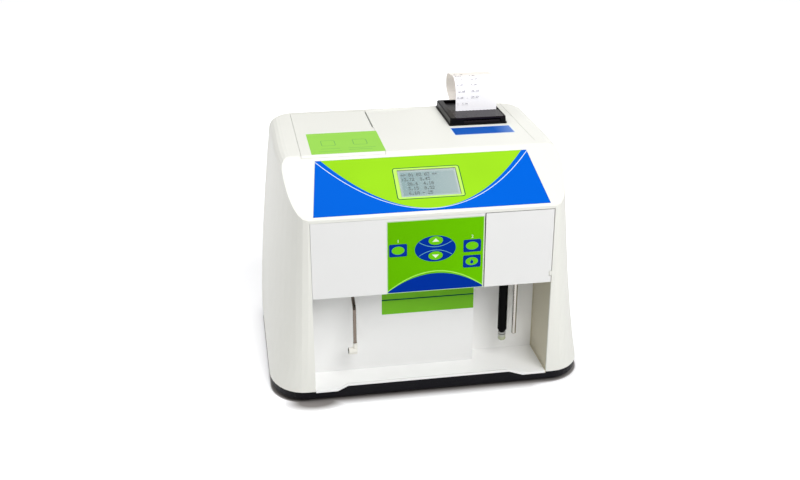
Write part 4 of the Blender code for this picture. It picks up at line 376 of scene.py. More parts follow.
def mount(name, mesh, body):
    """Puts a finished mesh into the scene and on its body."""
    made = bpy.data.objects.new(name, mesh)
    bpy.context.scene.collection.objects.link(made)
    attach(made, body)


def plain_mesh(maker, name):
    """The mesh that an object comes to once it is evaluated; the object goes."""
    bpy.context.scene.collection.objects.link(maker)
    graph = bpy.context.evaluated_depsgraph_get()
    mesh = bpy.data.meshes.new_from_object(maker.evaluated_get(graph))
    bpy.data.objects.remove(maker, do_unlink=True)
    if not mesh.polygons:
        raise RuntimeError(f"{name} came out empty")
    mesh.name = name
    return mesh


def label_plate(name, low, high, material, body):
    """A thin plate between two corners, with its own corners rounded."""
    shape = bmesh.new()
    bmesh.ops.create_cube(shape, size=1.0)
    size = Vector(high) - Vector(low)
    middle = (Vector(high) + Vector(low)) / 2
    place = Matrix.Translation(middle) @ Matrix.Diagonal((*size, 1.0))
    bmesh.ops.transform(shape, matrix=place, verts=shape.verts)
    thin = min(range(3), key=lambda axis: size[axis])
    along = [edge for edge in shape.edges
             if abs((edge.verts[0].co - edge.verts[1].co)[thin]) > 1e-9]
    bmesh.ops.bevel(shape, geom=along, offset=LABEL_CORNER, segments=3, affect="EDGES")
    bmesh.ops.recalc_face_normals(shape, faces=shape.faces)
    mesh = bpy.data.meshes.new(name)
    shape.to_mesh(mesh)
    shape.free()
    mesh.materials.append(material)
    mount(name, mesh, body)


def slope_point(x, run, out):
    """A point over the sloping face, by its run up the slope and its height off it."""
    sine, cosine = math.sin(SLOPE_ANGLE), math.cos(SLOPE_ANGLE)
    return Vector((x, back(run * cosine - out * sine),
                   up(SLOPE_FOOT + run * sine + out * cosine)))


DIGITS = {
    "0": "01110 10001 10011 10101 11001 10001 01110",
    "1": "00100 01100 00100 00100 00100 00100 01110",
    "2": "01110 10001 00001 00110 01000 10000 11111",
    "3": "11111 00010 00100 00010 00001 10001 01110",
    "4": "00010 00110 01010 10010 11111 00010 00010",
    "5": "11111 10000 11110 00001 00001 10001 01110",
    "6": "00110 01000 10000 11110 10001 10001 01110",
    "7": "11111 00001 00010 00100 01000 01000 01000",
    "8": "01110 10001 10001 01110 10001 10001 01110",
    "9": "01110 10001 10001 01111 00001 00010 01100",
    ".": "00000 00000 00000 00000 00000 01100 01100",
    "=": "00000 00000 11111 00000 11111 00000 00000",
    "-": "00000 00000 00000 11111 00000 00000 00000",
    ">": "10000 01000 00100 00010 00100 01000 10000",
    " ": "00000 00000 00000 00000 00000 00000 00000",
}


def dot_rows(lines, left, first, pitch_u, pitch_v, row_pitch):
    """Places (u, v) of every lit dot of the lines of figures."""
    spots = []
    for row, line in enumerate(lines):
        for column, figure in enumerate(line):
            for j, bits in enumerate(DIGITS[figure].split()):
                for i, bit in enumerate(bits):
                    if bit == "1":
                        spots.append((left + (6 * column + i) * pitch_u,
                                      first - row * row_pitch - j * pitch_v))
    return spots


def tree_on_points(name, sizes, material, shape):
    """Nodes that set a shape on every point, tilted by the point's own value."""
    tree = bpy.data.node_groups.new(name, "GeometryNodeTree")
    face = tree.interface
    face.new_socket("Geometry", in_out="INPUT", socket_type="NodeSocketGeometry")
    for label in sizes:
        socket = face.new_socket(label, in_out="INPUT", socket_type="NodeSocketFloat")
        socket.subtype = "DISTANCE"
    face.new_socket("Geometry", in_out="OUTPUT", socket_type="NodeSocketGeometry")

    def add(kind, settings=None, inputs=()):
        return add_node(tree, kind, settings, inputs)

    start = add("NodeGroupInput").outputs
    tilt = add("GeometryNodeInputNamedAttribute", {"data_type": "FLOAT"}, {"Name": "tilt"})
    turn = add("ShaderNodeCombineXYZ", None, {"X": tilt.outputs["Attribute"]})
    spread = add("GeometryNodeInstanceOnPoints", None, {
        "Points": start["Geometry"], "Instance": shape(add, start), "Rotation": turn.outputs[0]})
    real = add("GeometryNodeRealizeInstances", None, [spread.outputs[0]])
    paint = add("GeometryNodeSetMaterial", None,
                {"Geometry": real.outputs[0], "Material": material})
    add("NodeGroupOutput", None, [paint.outputs[0]])
    return tree


def dot(add, sizes):
    """A small plate."""
    size = add("ShaderNodeCombineXYZ", None, [sizes[label] for label in DOT_SIZES])
    return add("GeometryNodeMeshCube", None, {"Size": size.outputs[0]}).outputs["Mesh"]


def screw_head(add, sizes):
    """A pan head with a cross cut into its top."""
    radius, height = (sizes[label] for label in HEAD_SIZES)
    top_share, long_share, wide_share, deep_share = 0.72, 1.1, 0.24, 1.2

    def scaled(socket, share):
        return add("ShaderNodeMath", {"operation": "MULTIPLY"}, [socket, share]).outputs[0]

    head = add("GeometryNodeMeshCone", {"fill_type": "NGON"}, {
        "Vertices": 20, "Radius Bottom": radius, "Radius Top": scaled(radius, top_share),
        "Depth": height})
    lift = add("ShaderNodeCombineXYZ", None, {"Z": height})
    bars = []
    for across, along in ((long_share, wide_share), (wide_share, long_share)):
        size = add("ShaderNodeCombineXYZ", None, [
            scaled(radius, across), scaled(radius, along), scaled(height, deep_share)])
        bar = add("GeometryNodeMeshCube", None, {"Size": size.outputs[0]})
        moved = add("GeometryNodeTransform", None,
                    {"Geometry": bar.outputs["Mesh"], "Translation": lift.outputs[0]})
        bars.append(moved.outputs[0])
    cross = add("GeometryNodeJoinGeometry", None, {"Geometry": bars})
    cut = add("GeometryNodeMeshBoolean", {"operation": "DIFFERENCE", "solver": "EXACT"}, {
        "Mesh 1": head.outputs["Mesh"], "Mesh 2": cross.outputs[0], "Self Intersection": True})
    return cut.outputs["Mesh"]


def grown(name, spots, tilts, tree, sizes, body):
    """Runs a tree, with its sizes in order, on tilted points; keeps a plain mesh."""
    seeds = bpy.data.meshes.new(f"{name}_points")
    seeds.from_pydata([tuple(spot) for spot in spots], [], [])
    seeds.attributes.new("tilt", "FLOAT", "POINT").data.foreach_set("value", tilts)
    maker = bpy.data.objects.new(f"{name}_points", seeds)
    step = maker.modifiers.new("Grow", "NODES")
    step.node_group = tree
    inputs = [item for item in tree.interface.items_tree
              if item.in_out == "INPUT" and item.socket_type == "NodeSocketFloat"]
    for item, size in zip(inputs, sizes, strict=True):
        step[item.identifier] = size
    mesh = plain_mesh(maker, name)
    material = next(item for item in mesh.materials if item)
    mesh.materials.clear()
    mesh.materials.append(material)
    mesh.polygons.foreach_set("material_index", [0] * len(mesh.polygons))
    mount(name, mesh, body)


def figure(name, words, size, place, material, body, slot):
    """A plain figure that faces the front, as a thin mesh with its place in its vertices."""
    curve = bpy.data.curves.new(name, "FONT")
    curve.body = words
    curve.size = size
    curve.align_x = curve.align_y = "CENTER"
    curve.extrude = FILM_SKIN / 4
    curve.resolution_u = 3
    mesh = plain_mesh(bpy.data.objects.new(f"{name}_text", curve), name)
    mesh.transform(Matrix.Translation(Vector(place)) @ Matrix.Rotation(math.radians(90), 4, "X"))
    shape = bmesh.new()
    shape.from_mesh(mesh)
    bmesh.ops.remove_doubles(shape, verts=shape.verts, dist=1e-6)
    shape.to_mesh(mesh)
    shape.free()
    mesh.materials.clear()
    mesh.materials.append(material)
    mount(name, mesh, body)


class Maker:
    """What the operators share: an undo step and the look's values."""
    bl_options = {"REGISTER", "UNDO"}

    def execute(self, context):
        self.make(context.scene.analyzer_look)
        return {"FINISHED"}


class ANALYZER_OT_stage(Maker, bpy.types.Operator):
    """Floor, soft boxes, surround and camera"""
    bl_idname = "analyzer.stage"
    bl_label = "Stage"

    def make(self, look):
        self.floor()
        self.surround(look.ambient)
        for name, (place, size, share) in SOFT_BOXES.items():
            self.soft_box(name, place, size, look.key_light * share)
        self.camera()

    def floor(self):
        """A pale floor that shows white far off and keeps the cast shadow; close round the base a
        contact shadow is painted in, darkest in a patch at the front-left corner.
        """
        shape = bmesh.new()
        bmesh.ops.create_grid(shape, x_segments=1, y_segments=1, size=6.0)
        mesh = bpy.data.meshes.new("studio_floor")
        shape.to_mesh(mesh)
        shape.free()
        graph = Graph("studio_floor")
        graph.set(Base_Color=graph.mix(graph.noise(3.0), (0.78, 0.78, 0.78), (0.80, 0.80, 0.80)),
                  Roughness=0.9, Specular_IOR_Level=0.0)
        rays = graph.outputs("LightPath")
        shown = rays["Is Camera Ray"].at_least(rays["Is Glossy Ray"])
        shown = shown.at_least(rays["Is Transmission Ray"])
        pale_from, pale_over, beside_from, beside_rate = 0.35, 0.7, 0.13, 60.0
        shadow_patch_x, shadow_patch_y, shadow_patch_half = -0.150, -0.148, (0.042, 0.022)
        x, y, _ = graph.place()
        far = (((x * x + y * y).root() - pale_from) / pale_over).ramp()
        glow = graph.mix(far, (0.30, 0.30, 0.305), (0.64, 0.64, 0.64))
        # Painted contact shadow: near the base's footprint, narrower at the sides, and in an oval
        # patch at the front-left corner, the floor's glow is taken away.
        edge = rounded(x, y, *BASE_HALF, BASE_CORNER)
        beside = (abs(x) - beside_from).at_least(0.0) * beside_rate + 1.0
        corner = oval(x - shadow_patch_x, y - shadow_patch_y, *shadow_patch_half)
        near = (edge * beside).under(0.006, 0.014).at_least(corner.under(0.8, 0.6))
        glow = graph.mix(near, glow, (0.0, 0.0, 0.0))
        lit = graph.node("Emission", inputs={"Color": glow, "Strength": 1.0})
        # Painted contact shadow: there the floor's own colour is painted dark as well.
        matt = graph.node("BsdfDiffuse", inputs={
            "Color": graph.mix(near, (0.95, 0.95, 0.96), (0.30, 0.28, 0.27))})
        both = graph.node("AddShader", inputs=[matt, lit])
        mixed = graph.node("MixShader", inputs=[shown, graph.shader.outputs[0], both])
        feed(graph.tree, graph.tree.nodes["Material Output"].inputs["Surface"], mixed)
        mesh.materials.append(graph.material)
        floor = bpy.data.objects.new("studio_floor", mesh)
        bpy.context.scene.collection.objects.link(floor)

    def surround(self, level):
        """White to the camera, and a level of light to everything else."""
        world = bpy.data.worlds.new("studio")
        world.use_nodes = True
        tree, white = world.node_tree, (1.0, 1.0, 1.0)
        glow = tree.nodes["Background"]
        feed(tree, glow.inputs["Color"], white)
        feed(tree, glow.inputs["Strength"], level)
        seen = add_node(tree, "ShaderNodeBackground", None, {"Color": white, "Strength": 1.0})
        rays = add_node(tree, "ShaderNodeLightPath")
        pick = add_node(tree, "ShaderNodeMixShader", None, [
            rays.outputs["Is Camera Ray"], glow.outputs[0], seen.outputs[0]])
        feed(tree, tree.nodes["World Output"].inputs["Surface"], pick.outputs[0])
        bpy.context.scene.world = world

    def soft_box(self, name, place, size, power):
        """A square area light that faces the object."""
        light = bpy.data.lights.new(name, "AREA")
        light.energy = power
        light.size = size
        made = bpy.data.objects.new(name, light)
        made.location = place
        aim = Vector(LIGHT_AIM) - Vector(place)
        made.rotation_euler = aim.to_track_quat("-Z", "Y").to_euler()
        bpy.context.scene.collection.objects.link(made)

    def camera(self):
        """The photograph's view, from its place and its three turns."""
        yaw, pitch, roll = CAMERA_TURN
        ahead = Vector((math.sin(yaw) * math.cos(pitch), math.cos(yaw) * math.cos(pitch),
                        -math.sin(pitch)))
        level = Vector((math.cos(yaw), -math.sin(yaw), 0.0))
        down = ahead.cross(level)
        right = level * math.cos(roll) + down * math.sin(roll)
        down = down * math.cos(roll) - level * math.sin(roll)
        lens = bpy.data.cameras.new("photo_view")
        lens.sensor_width = 36.0
        lens.lens = CAMERA_LENS
        made = bpy.data.objects.new("photo_view", lens)
        turn = Matrix((right, -down, -ahead)).transposed().to_4x4()
        made.matrix_world = Matrix.Translation(CAMERA_PLACE) @ turn
        bpy.context.scene.collection.objects.link(made)
        bpy.context.scene.camera = made
        bpy.context.scene.view_settings.view_transform = "Standard"


class ANALYZER_OT_shell(Maker, bpy.types.Operator):
    """White mouldings, black base pan, feet and metal pins"""
    bl_idname = "analyzer.shell"
    bl_label = "Shell"

    def make(self, look):
        dress(moulded("warm_white_shell", tuple(look.shell), 0.42), "housing", "pump_hatch")
        dress(self.walls(look), "sample_bay", "probe_holder")
        dress(self.panels(look), "control_panel", "probe_door")
        dress(moulded("black_pan", tuple(look.base), 0.46, 0.00003, shine=0.12), "base_pan")
        dress(moulded("foot_rubber", linear(26, 26, 27), 0.85, 0.00005),
              *[f"foot_{side}_{hand}" for side in ("front", "rear") for hand in ("left", "right")])
        dress(polished("pin_steel", linear(190, 188, 184), 0.25, 1.0, scratch=(1, 1, 12)),
              "door_hinge_pin")

    def walls(self, look):
        """Liner with painted shade: the back wall is darker downward and leftward, the right wall a
        darker, warmer white.
        """
        graph, colour = grained("white_liner", look.liner, 0.38)
        x, y, z = graph.place()
        shade_top, shade_side = 0.115, -0.09
        low, left = (z - shade_top).ramp(-11.0), (x - shade_side).ramp(-17.0)
        near, soft = 0.0008, 0.0004
        wall = y.over(back(BAY_WALL_DEPTH) - near, soft) * x.under(BAY_STEP, soft)
        # Painted shade on the back wall, darker downward and leftward.
        colour = graph.mix(low.at_least(left) * wall, colour, toned(look.liner, 0.90))
        # Painted shade on the bay's right wall, a darker, warmer white.
        graph.set(Base_Color=graph.mix(x.over(BAY_RIGHT, 0.0008), colour, linear(212, 205, 182)))
        return graph.material

    def panels(self, look):
        """White plates whose edges at the slit and round the door are in shade."""
        graph, colour = grained("white_fascia", look.fascia, 0.40)
        door_right, shade_foot, shade_run, soft = 0.14945, 0.222, 0.021, 0.0004
        slit_half = 0.00062
        x, _, z = graph.place()
        slit = abs(x - SLIT).under(slit_half, soft / 2)
        head = x.over(SLIT + soft) * z.over(DOOR_HEAD, soft) * 0.85
        hand = x.over(door_right, soft) * ((z - shade_foot) / shade_run).ramp(0.8)
        dark = slit.at_least(head).at_least(hand)
        graph.set(Base_Color=graph.mix(dark, colour, linear(70, 68, 66)))
        return graph.material


class ANALYZER_OT_display(Maker, bpy.types.Operator):
    """Printed display film, lens, display glass and its figures"""
    bl_idname = "analyzer.display"
    bl_label = "Display"

    def make(self, look):
        dress(self.film(look), "display_overlay")
        dress(self.module(look), "display_module")
        lens = polished("display_lens_clear", linear(235, 240, 240), 0.04, alpha=0.04)
        dress(lens, "display_window")
        self.figures(look)

    def run(self, graph):
        """X and the run up the slope of the point on the piece."""
        x, y, z = graph.place()
        run = (y - FRONT) * math.cos(SLOPE_ANGLE) + (z - up(SLOPE_FOOT)) * math.sin(SLOPE_ANGLE)
        return x, run

    def film(self, look):
        """Green bowl on blue with a pale line under it, and a framed window."""
        graph = Graph("display_film_print")
        x, run = self.run(graph)
        film_foot, line_half, soft = 0.005, 0.00042, 0.0002
        frame_corner, frame_half = 0.0032, 0.00056
        rise = run - film_foot
        green = (rise - sweep(x, *BOWL)[0]).over(0.0, soft)
        line = off_line(rise, *sweep(x, *BRIM)).under(line_half, soft)
        left, low, right, high = WINDOW_FRAME
        rim = rounded(x - (left + right) / 2, run - (low + high) / 2, (right - left) / 2,
                      (high - low) / 2, frame_corner)
        slow = graph.noise(14.0, 1.0)
        lime = graph.mix(slow, tuple(look.lime), toned(look.lime, 0.88))
        sky = graph.mix(slow, tuple(look.sky), toned(look.sky, 0.93))
        colour = graph.mix(green, sky, lime)
        colour = graph.mix(line, colour, linear(226, 240, 250))
        colour = graph.mix(rim.under(0.0), colour, linear(190, 236, 104))
        colour = graph.mix(abs(rim).under(frame_half), colour, linear(10, 92, 62))
        return printed(graph, colour)

    def module(self, look):
        """Glass that pales to the right and at its edges, on a green board."""
        graph = Graph("display_module_glass")
        x, run = self.run(graph)
        _, y, z = graph.place()
        out = (z - up(SLOPE_FOOT)) * math.cos(SLOPE_ANGLE) - (y - FRONT) * math.sin(SLOPE_ANGLE)
        left, low, right, high = WINDOW
        inset = (x - left).at_most(right - x).at_most(run - low).at_most(high - run)
        glow_width, glow_soft = 0.0022, 0.004
        glow = inset.under(glow_width, glow_soft)
        side = ((x - left) / (right - left)).ramp(0.55)
        cells = graph.noise(2400.0, 1.0)
        glass = graph.mix(side, tuple(look.glass), linear(178, 190, 190))
        glass = graph.mix(glow * 0.75, glass, linear(204, 212, 212))
        glass = graph.mix(cells * 0.10, glass, toned(look.glass, 0.8))
        graph.set(Base_Color=graph.mix(out.over(-LCD_EDGE), linear(16, 84, 48), glass),
                  Roughness=0.30 + 0.05 * cells)
        graph.bump(cells, 0.000004)
        return graph.material

    def figures(self, look):
        """Five lines of plain figures, as dots just over the glass."""
        ink = moulded("display_ink", tuple(look.ink), 0.5, 0.000001, 0.00002)
        margin_left, margin_top, line_pitch, lift = 0.0042, 0.0056, 0.0074, 0.00006
        tall_pitch, tall_dot = look.dot * 1.286, look.dot * 1.24
        lines = ["== 01 02 03 ==", ">3.72  8.45", "  28.6  4.10", "  3.15  0.52", "  6.68 - 25"]
        spots = dot_rows(lines, WINDOW[0] + margin_left, WINDOW[3] - margin_top,
                         look.dot, tall_pitch, line_pitch)
        places = [slope_point(x, run, lift - LCD_SINK) for x, run in spots]
        tree = tree_on_points("Dots on the display", DOT_SIZES, ink, dot)
        grown("display_figures", places, [SLOPE_ANGLE] * len(places), tree,
              (look.dot, tall_dot, DOT_THICK), "body")


class ANALYZER_OT_keypad(Maker, bpy.types.Operator):
    """Printed keypad film, keys and plain key numbers"""
    bl_idname = "analyzer.keypad"
    bl_label = "Keypad"

    def make(self, look):
        dress(self.film(look), "keypad_overlay")
        dress(self.keys(look), "key_mode", "key_up", "key_down", "key_ok", "key_clean")
        dress(moulded("switch_board_mask", linear(18, 90, 50), 0.5), "keypad_board")
        white = moulded("key_number_ink", linear(236, 248, 214), 0.5, 0.000001, 0.00002)
        size, level, depth = 0.0058, 0.2004, back(0.0001) - FILM_SKIN / 3
        for name, words, x in (("key_number_1", "1", KEY_LEFT), ("key_number_2", "2", KEY_RIGHT)):
            figure(name, words, size, (x, depth, up(level)), white, "body", "keypad_print")

    def spot(self, x, height, middle, level, half, tall):
        """1 inside an oval."""
        return oval(x - middle, height - level, half, tall).under(1.0, 0.0002 / half)

    def film(self, look):
        """Green with a blue dome and pad, pale lines, and a pale line round its edges as a painted
        highlight.
        """
        graph = Graph("keypad_film_print")
        x, _, z = graph.place()
        height = z - SILL
        dome_middle, arch_half = 0.002, 0.0007
        pad_x, pad_height, pad_half, pad_tall = 0.0012, 0.1877, 0.0254, 0.01705
        wave_half, wave_rise, wave_reach, wave_end = 0.00034, 0.0066, 0.020, 0.0205
        side = ((x + 0.06) / 0.12).ramp()
        colour = graph.mix(side, tuple(look.leaf), toned(look.leaf, 1.14))
        away = x - dome_middle
        arch = off_line(height, *sweep(away, *ARCH)).under(arch_half, INK_EDGE)
        colour = graph.mix(arch, colour, linear(176, 244, 96))
        dome = height.under(sweep(away, *DOME)[0], INK_EDGE)
        colour = graph.mix(dome, colour, tuple(look.key_blue))
        pad = self.spot(x, height, pad_x, pad_height, pad_half, pad_tall)
        colour = graph.mix(pad, colour, tuple(look.key_blue))
        for lift, rise in ((0.0024, wave_rise), (-0.0019, -wave_rise)):
            bend = x - PAD_MIDDLE
            wave = sweep(bend, pad_height + lift, rise, wave_reach, 2.0)[0]
            thin = abs(height - wave).under(wave_half, INK_EDGE) * abs(bend).under(wave_end)
            colour = graph.mix(thin * pad, colour, linear(120, 196, 196))
        left, low, right, high = KEYPAD_FILM_EDGES
        rim = (x - left).at_most(right - x).at_most(height - low).at_most(high - height)
        # Painted highlight: a pale line along the film's edges.
        border = rim.under(0.0006, INK_EDGE)
        colour = graph.mix(border, colour, linear(206, 236, 176))
        return printed(graph, colour)

    def keys(self, look):
        """Blue keys with green ovals, two arrows and a drop."""
        graph = Graph("key_print")
        x, _, z = graph.place()
        height = z - SILL
        key_oval, arrow_oval = (0.0078, 0.0053), (0.0095, 0.0064)
        arrow_half, arrow_tip, arrow_foot = 0.0043, 0.0030, 0.0014
        drop_half, spire_half, spire_top, spire_tall = 0.0021, 0.0019, 0.1706, 0.0042
        grain = graph.noise(1400.0, 2.0)
        bright = linear(112, 206, 18)
        colour = graph.mix(grain * 0.15, tuple(look.key_blue), toned(look.key_blue, 0.8))
        for middle, level, oval_half in (
                (KEY_LEFT, KEY_ROW, key_oval), (KEY_RIGHT, KEY_ROW, key_oval),
                (KEY_RIGHT, CLEAN_ROW, key_oval), (PAD_MIDDLE, UP_ROW, arrow_oval),
                (PAD_MIDDLE, DOWN_ROW, arrow_oval)):
            spot = self.spot(x, height, middle, level, *oval_half)
            colour = graph.mix(spot, colour, bright)
        for row, way in ((UP_ROW, 1), (DOWN_ROW, -1)):
            tip, foot = row + way * arrow_tip, row - way * arrow_foot
            share = (height - tip) / (foot - tip)
            wide = abs(x - PAD_MIDDLE).under(share * arrow_half, INK_EDGE)
            arrow = wide * share.under(1.0, 0.08) * share.over(0.0, 0.08)
            colour = graph.mix(arrow, colour, linear(240, 250, 226))
        drop = self.spot(x, height, KEY_RIGHT, spire_top - spire_tall, drop_half, drop_half)
        peak = (spire_top - height) / spire_tall
        spire = (abs(x - KEY_RIGHT).under(peak * spire_half, INK_EDGE) * peak.over(0.0, 0.08)
                 * peak.under(1.0, 0.08))
        colour = graph.mix(drop.at_least(spire), colour, tuple(look.key_blue))
        graph.set(Base_Color=colour, Roughness=0.38 + 0.10 * grain, Specular_IOR_Level=0.04)
        graph.soft_edges(0.00015, grain, 0.000008)
        return graph.material


class ANALYZER_OT_labels(Maker, bpy.types.Operator):
    """The bay label, the hatch label and the label by the printer, all left plain"""
    bl_idname = "analyzer.labels"
    bl_label = "Labels"

    def make(self, look):
        left, low, right, high = BAY_LABEL
        wall = back(BAY_WALL_DEPTH)
        label_plate("bay_label", (left, wall - FILM_SKIN, up(low)),
                    (right, wall - FILM_SKIN / 6, up(high)), self.bay(look), "body")
        self.flat("hatch_label", HATCH_LABEL, self.hatch(look), "hatch", "keypad_print")
        self.flat("printer_label", PRINTER_LABEL, self.printer(look), "body", "blue_print")

    def flat(self, name, outline, material, body, slot):
        """A plate on the top, from its left, front, right and rear."""
        left, front, right, rear = outline
        label_plate(name, (left, back(front), HATCH_TOP + FILM_SKIN / 6),
                    (right, back(rear), HATCH_TOP + FILM_SKIN), material, body)

    def bay(self, look):
        """Green, darker toward the right as painted shade, with one dark rule."""
        graph = Graph("bay_label_print")
        x, _, z = graph.place()
        height = z - SILL
        # Painted shade: the green darkens toward the right.
        side = ((x + 0.058) / 0.12).ramp()
        colour = graph.mix(side, tuple(look.bay_green), toned(look.bay_green, 0.86))
        rule_height, rule_half = 0.0998, 0.0009
        band = abs(height - rule_height).under(rule_half, INK_EDGE)
        colour = graph.mix(band, colour, linear(8, 84, 62))
        return printed(graph, colour, *LABEL_FINISH)

    def hatch(self, look):
        """Pale green with two plain outlines and four rules."""
        graph = Graph("hatch_label_print")
        x, y, _ = graph.place()
        depth = y - FRONT
        colour = graph.mix(graph.noise(20.0, 1.0) * 0.4, tuple(look.pale_green),
                           toned(look.pale_green, 0.86))
        ink = linear(52, 140, 96)
        box_depth, box_half, box_corner = 0.1366, (0.0087, 0.0108), 0.0030
        line_half, rule_half = 0.00035, 0.00055
        for middle in (-0.1126, -0.0716):
            rim = rounded(x - middle, depth - box_depth, *box_half, box_corner)
            colour = graph.mix(abs(rim).under(line_half, 0.0002) * 0.7, colour, ink)
        for left, right, level in ((-0.1237, -0.0991, 0.1137), (-0.1276, -0.0985, 0.1035),
                                   (-0.0891, -0.0541, 0.1132), (-0.0887, -0.0588, 0.1065)):
            off = abs(x - (left + right) / 2).under((right - left) / 2)
            rule = abs(depth - level).under(rule_half, 0.0004) * off
            colour = graph.mix(rule * 0.45, colour, ink)
        return printed(graph, colour, *LABEL_FINISH)

    def printer(self, look):
        """Blue that pales to the right, with a pale border."""
        graph = Graph("printer_label_print")
        x, y, _ = graph.place()
        light = ((x - 0.112) / 0.026).ramp(0.62)
        colour = graph.mix(light, tuple(look.top_blue), linear(128, 164, 222))
        left, front, right, rear = PRINTER_LABEL
        edge = (x - left).at_most(right - x).at_most(y - back(front)).at_most(back(rear) - y)
        colour = graph.mix(edge.under(0.0010, INK_EDGE), colour, linear(206, 220, 246))
        return printed(graph, colour, *LABEL_FINISH)


class ANALYZER_OT_printer(Maker, bpy.types.Operator):
    """Printer mouldings, rollers, gears, paper and its printed figures"""
    bl_idname = "analyzer.printer"
    bl_label = "Printer"

    def make(self, look):
        dress(moulded("printer_black", linear(12, 11, 12), 0.32, 0.000012, shine=0.10),
              "printer_bezel", "paper_door", "paper_bin")
        smoke = polished("printer_smoke", linear(24, 16, 23), 0.22, shine=0.13)
        dress(smoke, "printer_cover", "printer_release")
        dress(polished("head_steel", linear(176, 176, 178), 0.26, 1.0, scratch=(0.05, 1, 1)),
              "print_head")
        dress(moulded("platen_rubber", linear(30, 30, 31), 0.7), "platen_roller")
        dress(moulded("gear_nylon", linear(226, 222, 208), 0.42), "platen_gear", "drive_gear")
        dress(self.sheet(look), "paper_strip", "paper_roll")
        self.print_figures()

    def sheet(self, look):
        """White receipt paper that glows faintly as painted light, with painted shade making it
        greyer where it turns over to the rear.
        """
        graph = Graph("receipt_paper")
        fibre = graph.noise(420.0, 4.0, (1.0, 1.0, 0.5))
        colour = graph.mix(fibre * 0.5, tuple(look.paper), toned(look.paper, 0.95))
        # Painted shade: the paper is greyer where it turns over to the rear.
        turned = graph.place()[1].over(back(0.240), 0.02)
        colour = graph.mix(turned, colour, linear(222, 217, 211))
        # Painted light: the paper glows faintly with its own colour.
        graph.set(Base_Color=colour, Roughness=0.55 + 0.15 * fibre, Specular_IOR_Level=0.2,
                  Emission_Color=colour, Emission_Strength=0.31)
        graph.bump(fibre, 0.00001)
        return graph.material

    def print_figures(self):
        """Seven lines of plain figures, as dots along the curled strip."""
        ink = moulded("print_ink", linear(44, 44, 70), 0.6, 0.000001, 0.00002)
        lines = ["01  26", "0142  .  3.06", "3.72  .  28.45", "8.45  .  4.08", "12.60 .  20.15",
                 "6.68  .  25.07", "1  3.72"]
        left, top, line_pitch = -0.0262, 0.0627, 0.0089
        pitch, dot_size, lift = (0.00036, 0.00044), (0.00034, 0.0004), 0.00005
        spots = dot_rows(lines, left, top, *pitch, line_pitch)
        places, tilts = [], []
        for u, run in spots:
            depth, height, turn = self.strip_place(run)
            normal = Vector((0.0, -math.sin(turn), math.cos(turn)))
            places.append(Vector((PAPER_X + u, back(depth), up(height))) + normal * lift)
            tilts.append(turn)
        tree = tree_on_points("Dots on the receipt", DOT_SIZES, ink, dot)
        grown("receipt_figures", places, tilts, tree, (*dot_size, DOT_THICK), "paper_door")

    def strip_place(self, run):
        """Depth, height and tilt of the strip's printed side at a run above its slot."""
        run -= PAPER_STAND - PAPER_SLOT
        if run <= 0:
            return PAPER_FACE, PAPER_STAND + run, math.radians(90)
        depth, height, heading = PAPER_FACE, PAPER_STAND, 0.0
        for radius, sweep in CURLS:
            turned = min(run / radius, math.radians(sweep))
            middle = depth + radius * math.cos(heading), height - radius * math.sin(heading)
            heading += turned
            depth = middle[0] - radius * math.cos(heading)
            height = middle[1] + radius * math.sin(heading)
            run -= turned * radius
        return depth, height, math.radians(90) - heading


class ANALYZER_OT_wet_end(Maker, bpy.types.Operator):
    """Sample tube, its tip, the probes, their leads and the hoses"""
    bl_idname = "analyzer.wet_end"
    bl_label = "Tube and probes"

    def make(self, look):
        dress(polished("tube_steel", linear(124, 113, 104), 0.16, 1.0, scratch=(1, 1, 0.06)),
              "intake_tube")
        dress(polished("probe_steel", linear(188, 184, 178), 0.20, 1.0, scratch=(1, 1, 0.06)),
              "temperature_probe")
        dress(self.tip(), "intake_tip")
        dress(moulded("probe_black", linear(4, 4, 5), 0.30, 0.000008, shine=0.04), "ph_probe")
        dress(self.guard(), "ph_guard")
        dress(moulded("lead_rubber", linear(24, 24, 25), 0.6), "ph_lead", "temperature_lead")
        dress(polished("hose_silicone", linear(222, 222, 214), 0.35, alpha=0.75), "feed_hose",
              "pump_link_hose", "pump_hose")

    def tip(self):
        """Off-white plastic; the bore at its left end is painted in as a dark shade."""
        graph = Graph("tip_plastic")
        x, _, z = graph.place()
        fine = graph.noise(2600.0, 3.0)
        mouth_x, mouth_foot = -0.1046, 0.0550
        # Painted shade for the bore at the left end.
        mouth = x.under(mouth_x, 0.0003) * z.over(mouth_foot, 0.0010)
        colour = graph.mix(fine * 0.3, linear(240, 238, 230), linear(232, 228, 216))
        graph.set(Base_Color=graph.mix(mouth, colour, linear(58, 52, 46)),
                  Roughness=0.32 + 0.10 * fine, Specular_IOR_Level=0.4)
        graph.soft_edges(0.0004, fine, 0.00002)
        return graph.material

    def guard(self):
        """Clear sleeve, a little green low down, with a dark ring under the probe."""
        graph = Graph("guard_clear")
        z = graph.place()[2]
        worn = graph.noise(300.0, 2.0)
        tint_top, probe_end, ring_half = 0.0500, 0.0530, 0.0007
        tint = z.under(tint_top, 0.006)
        colour = graph.mix(tint, linear(206, 206, 202), linear(186, 194, 160))
        ring = abs(z - probe_end).under(ring_half, 0.0006)
        colour = graph.mix(ring, colour, linear(84, 82, 84))
        graph.set(Base_Color=colour, Roughness=0.10 + 0.08 * worn, Alpha=0.62 + 0.3 * ring)
        graph.bump(worn, 0.00002)
        return graph.material


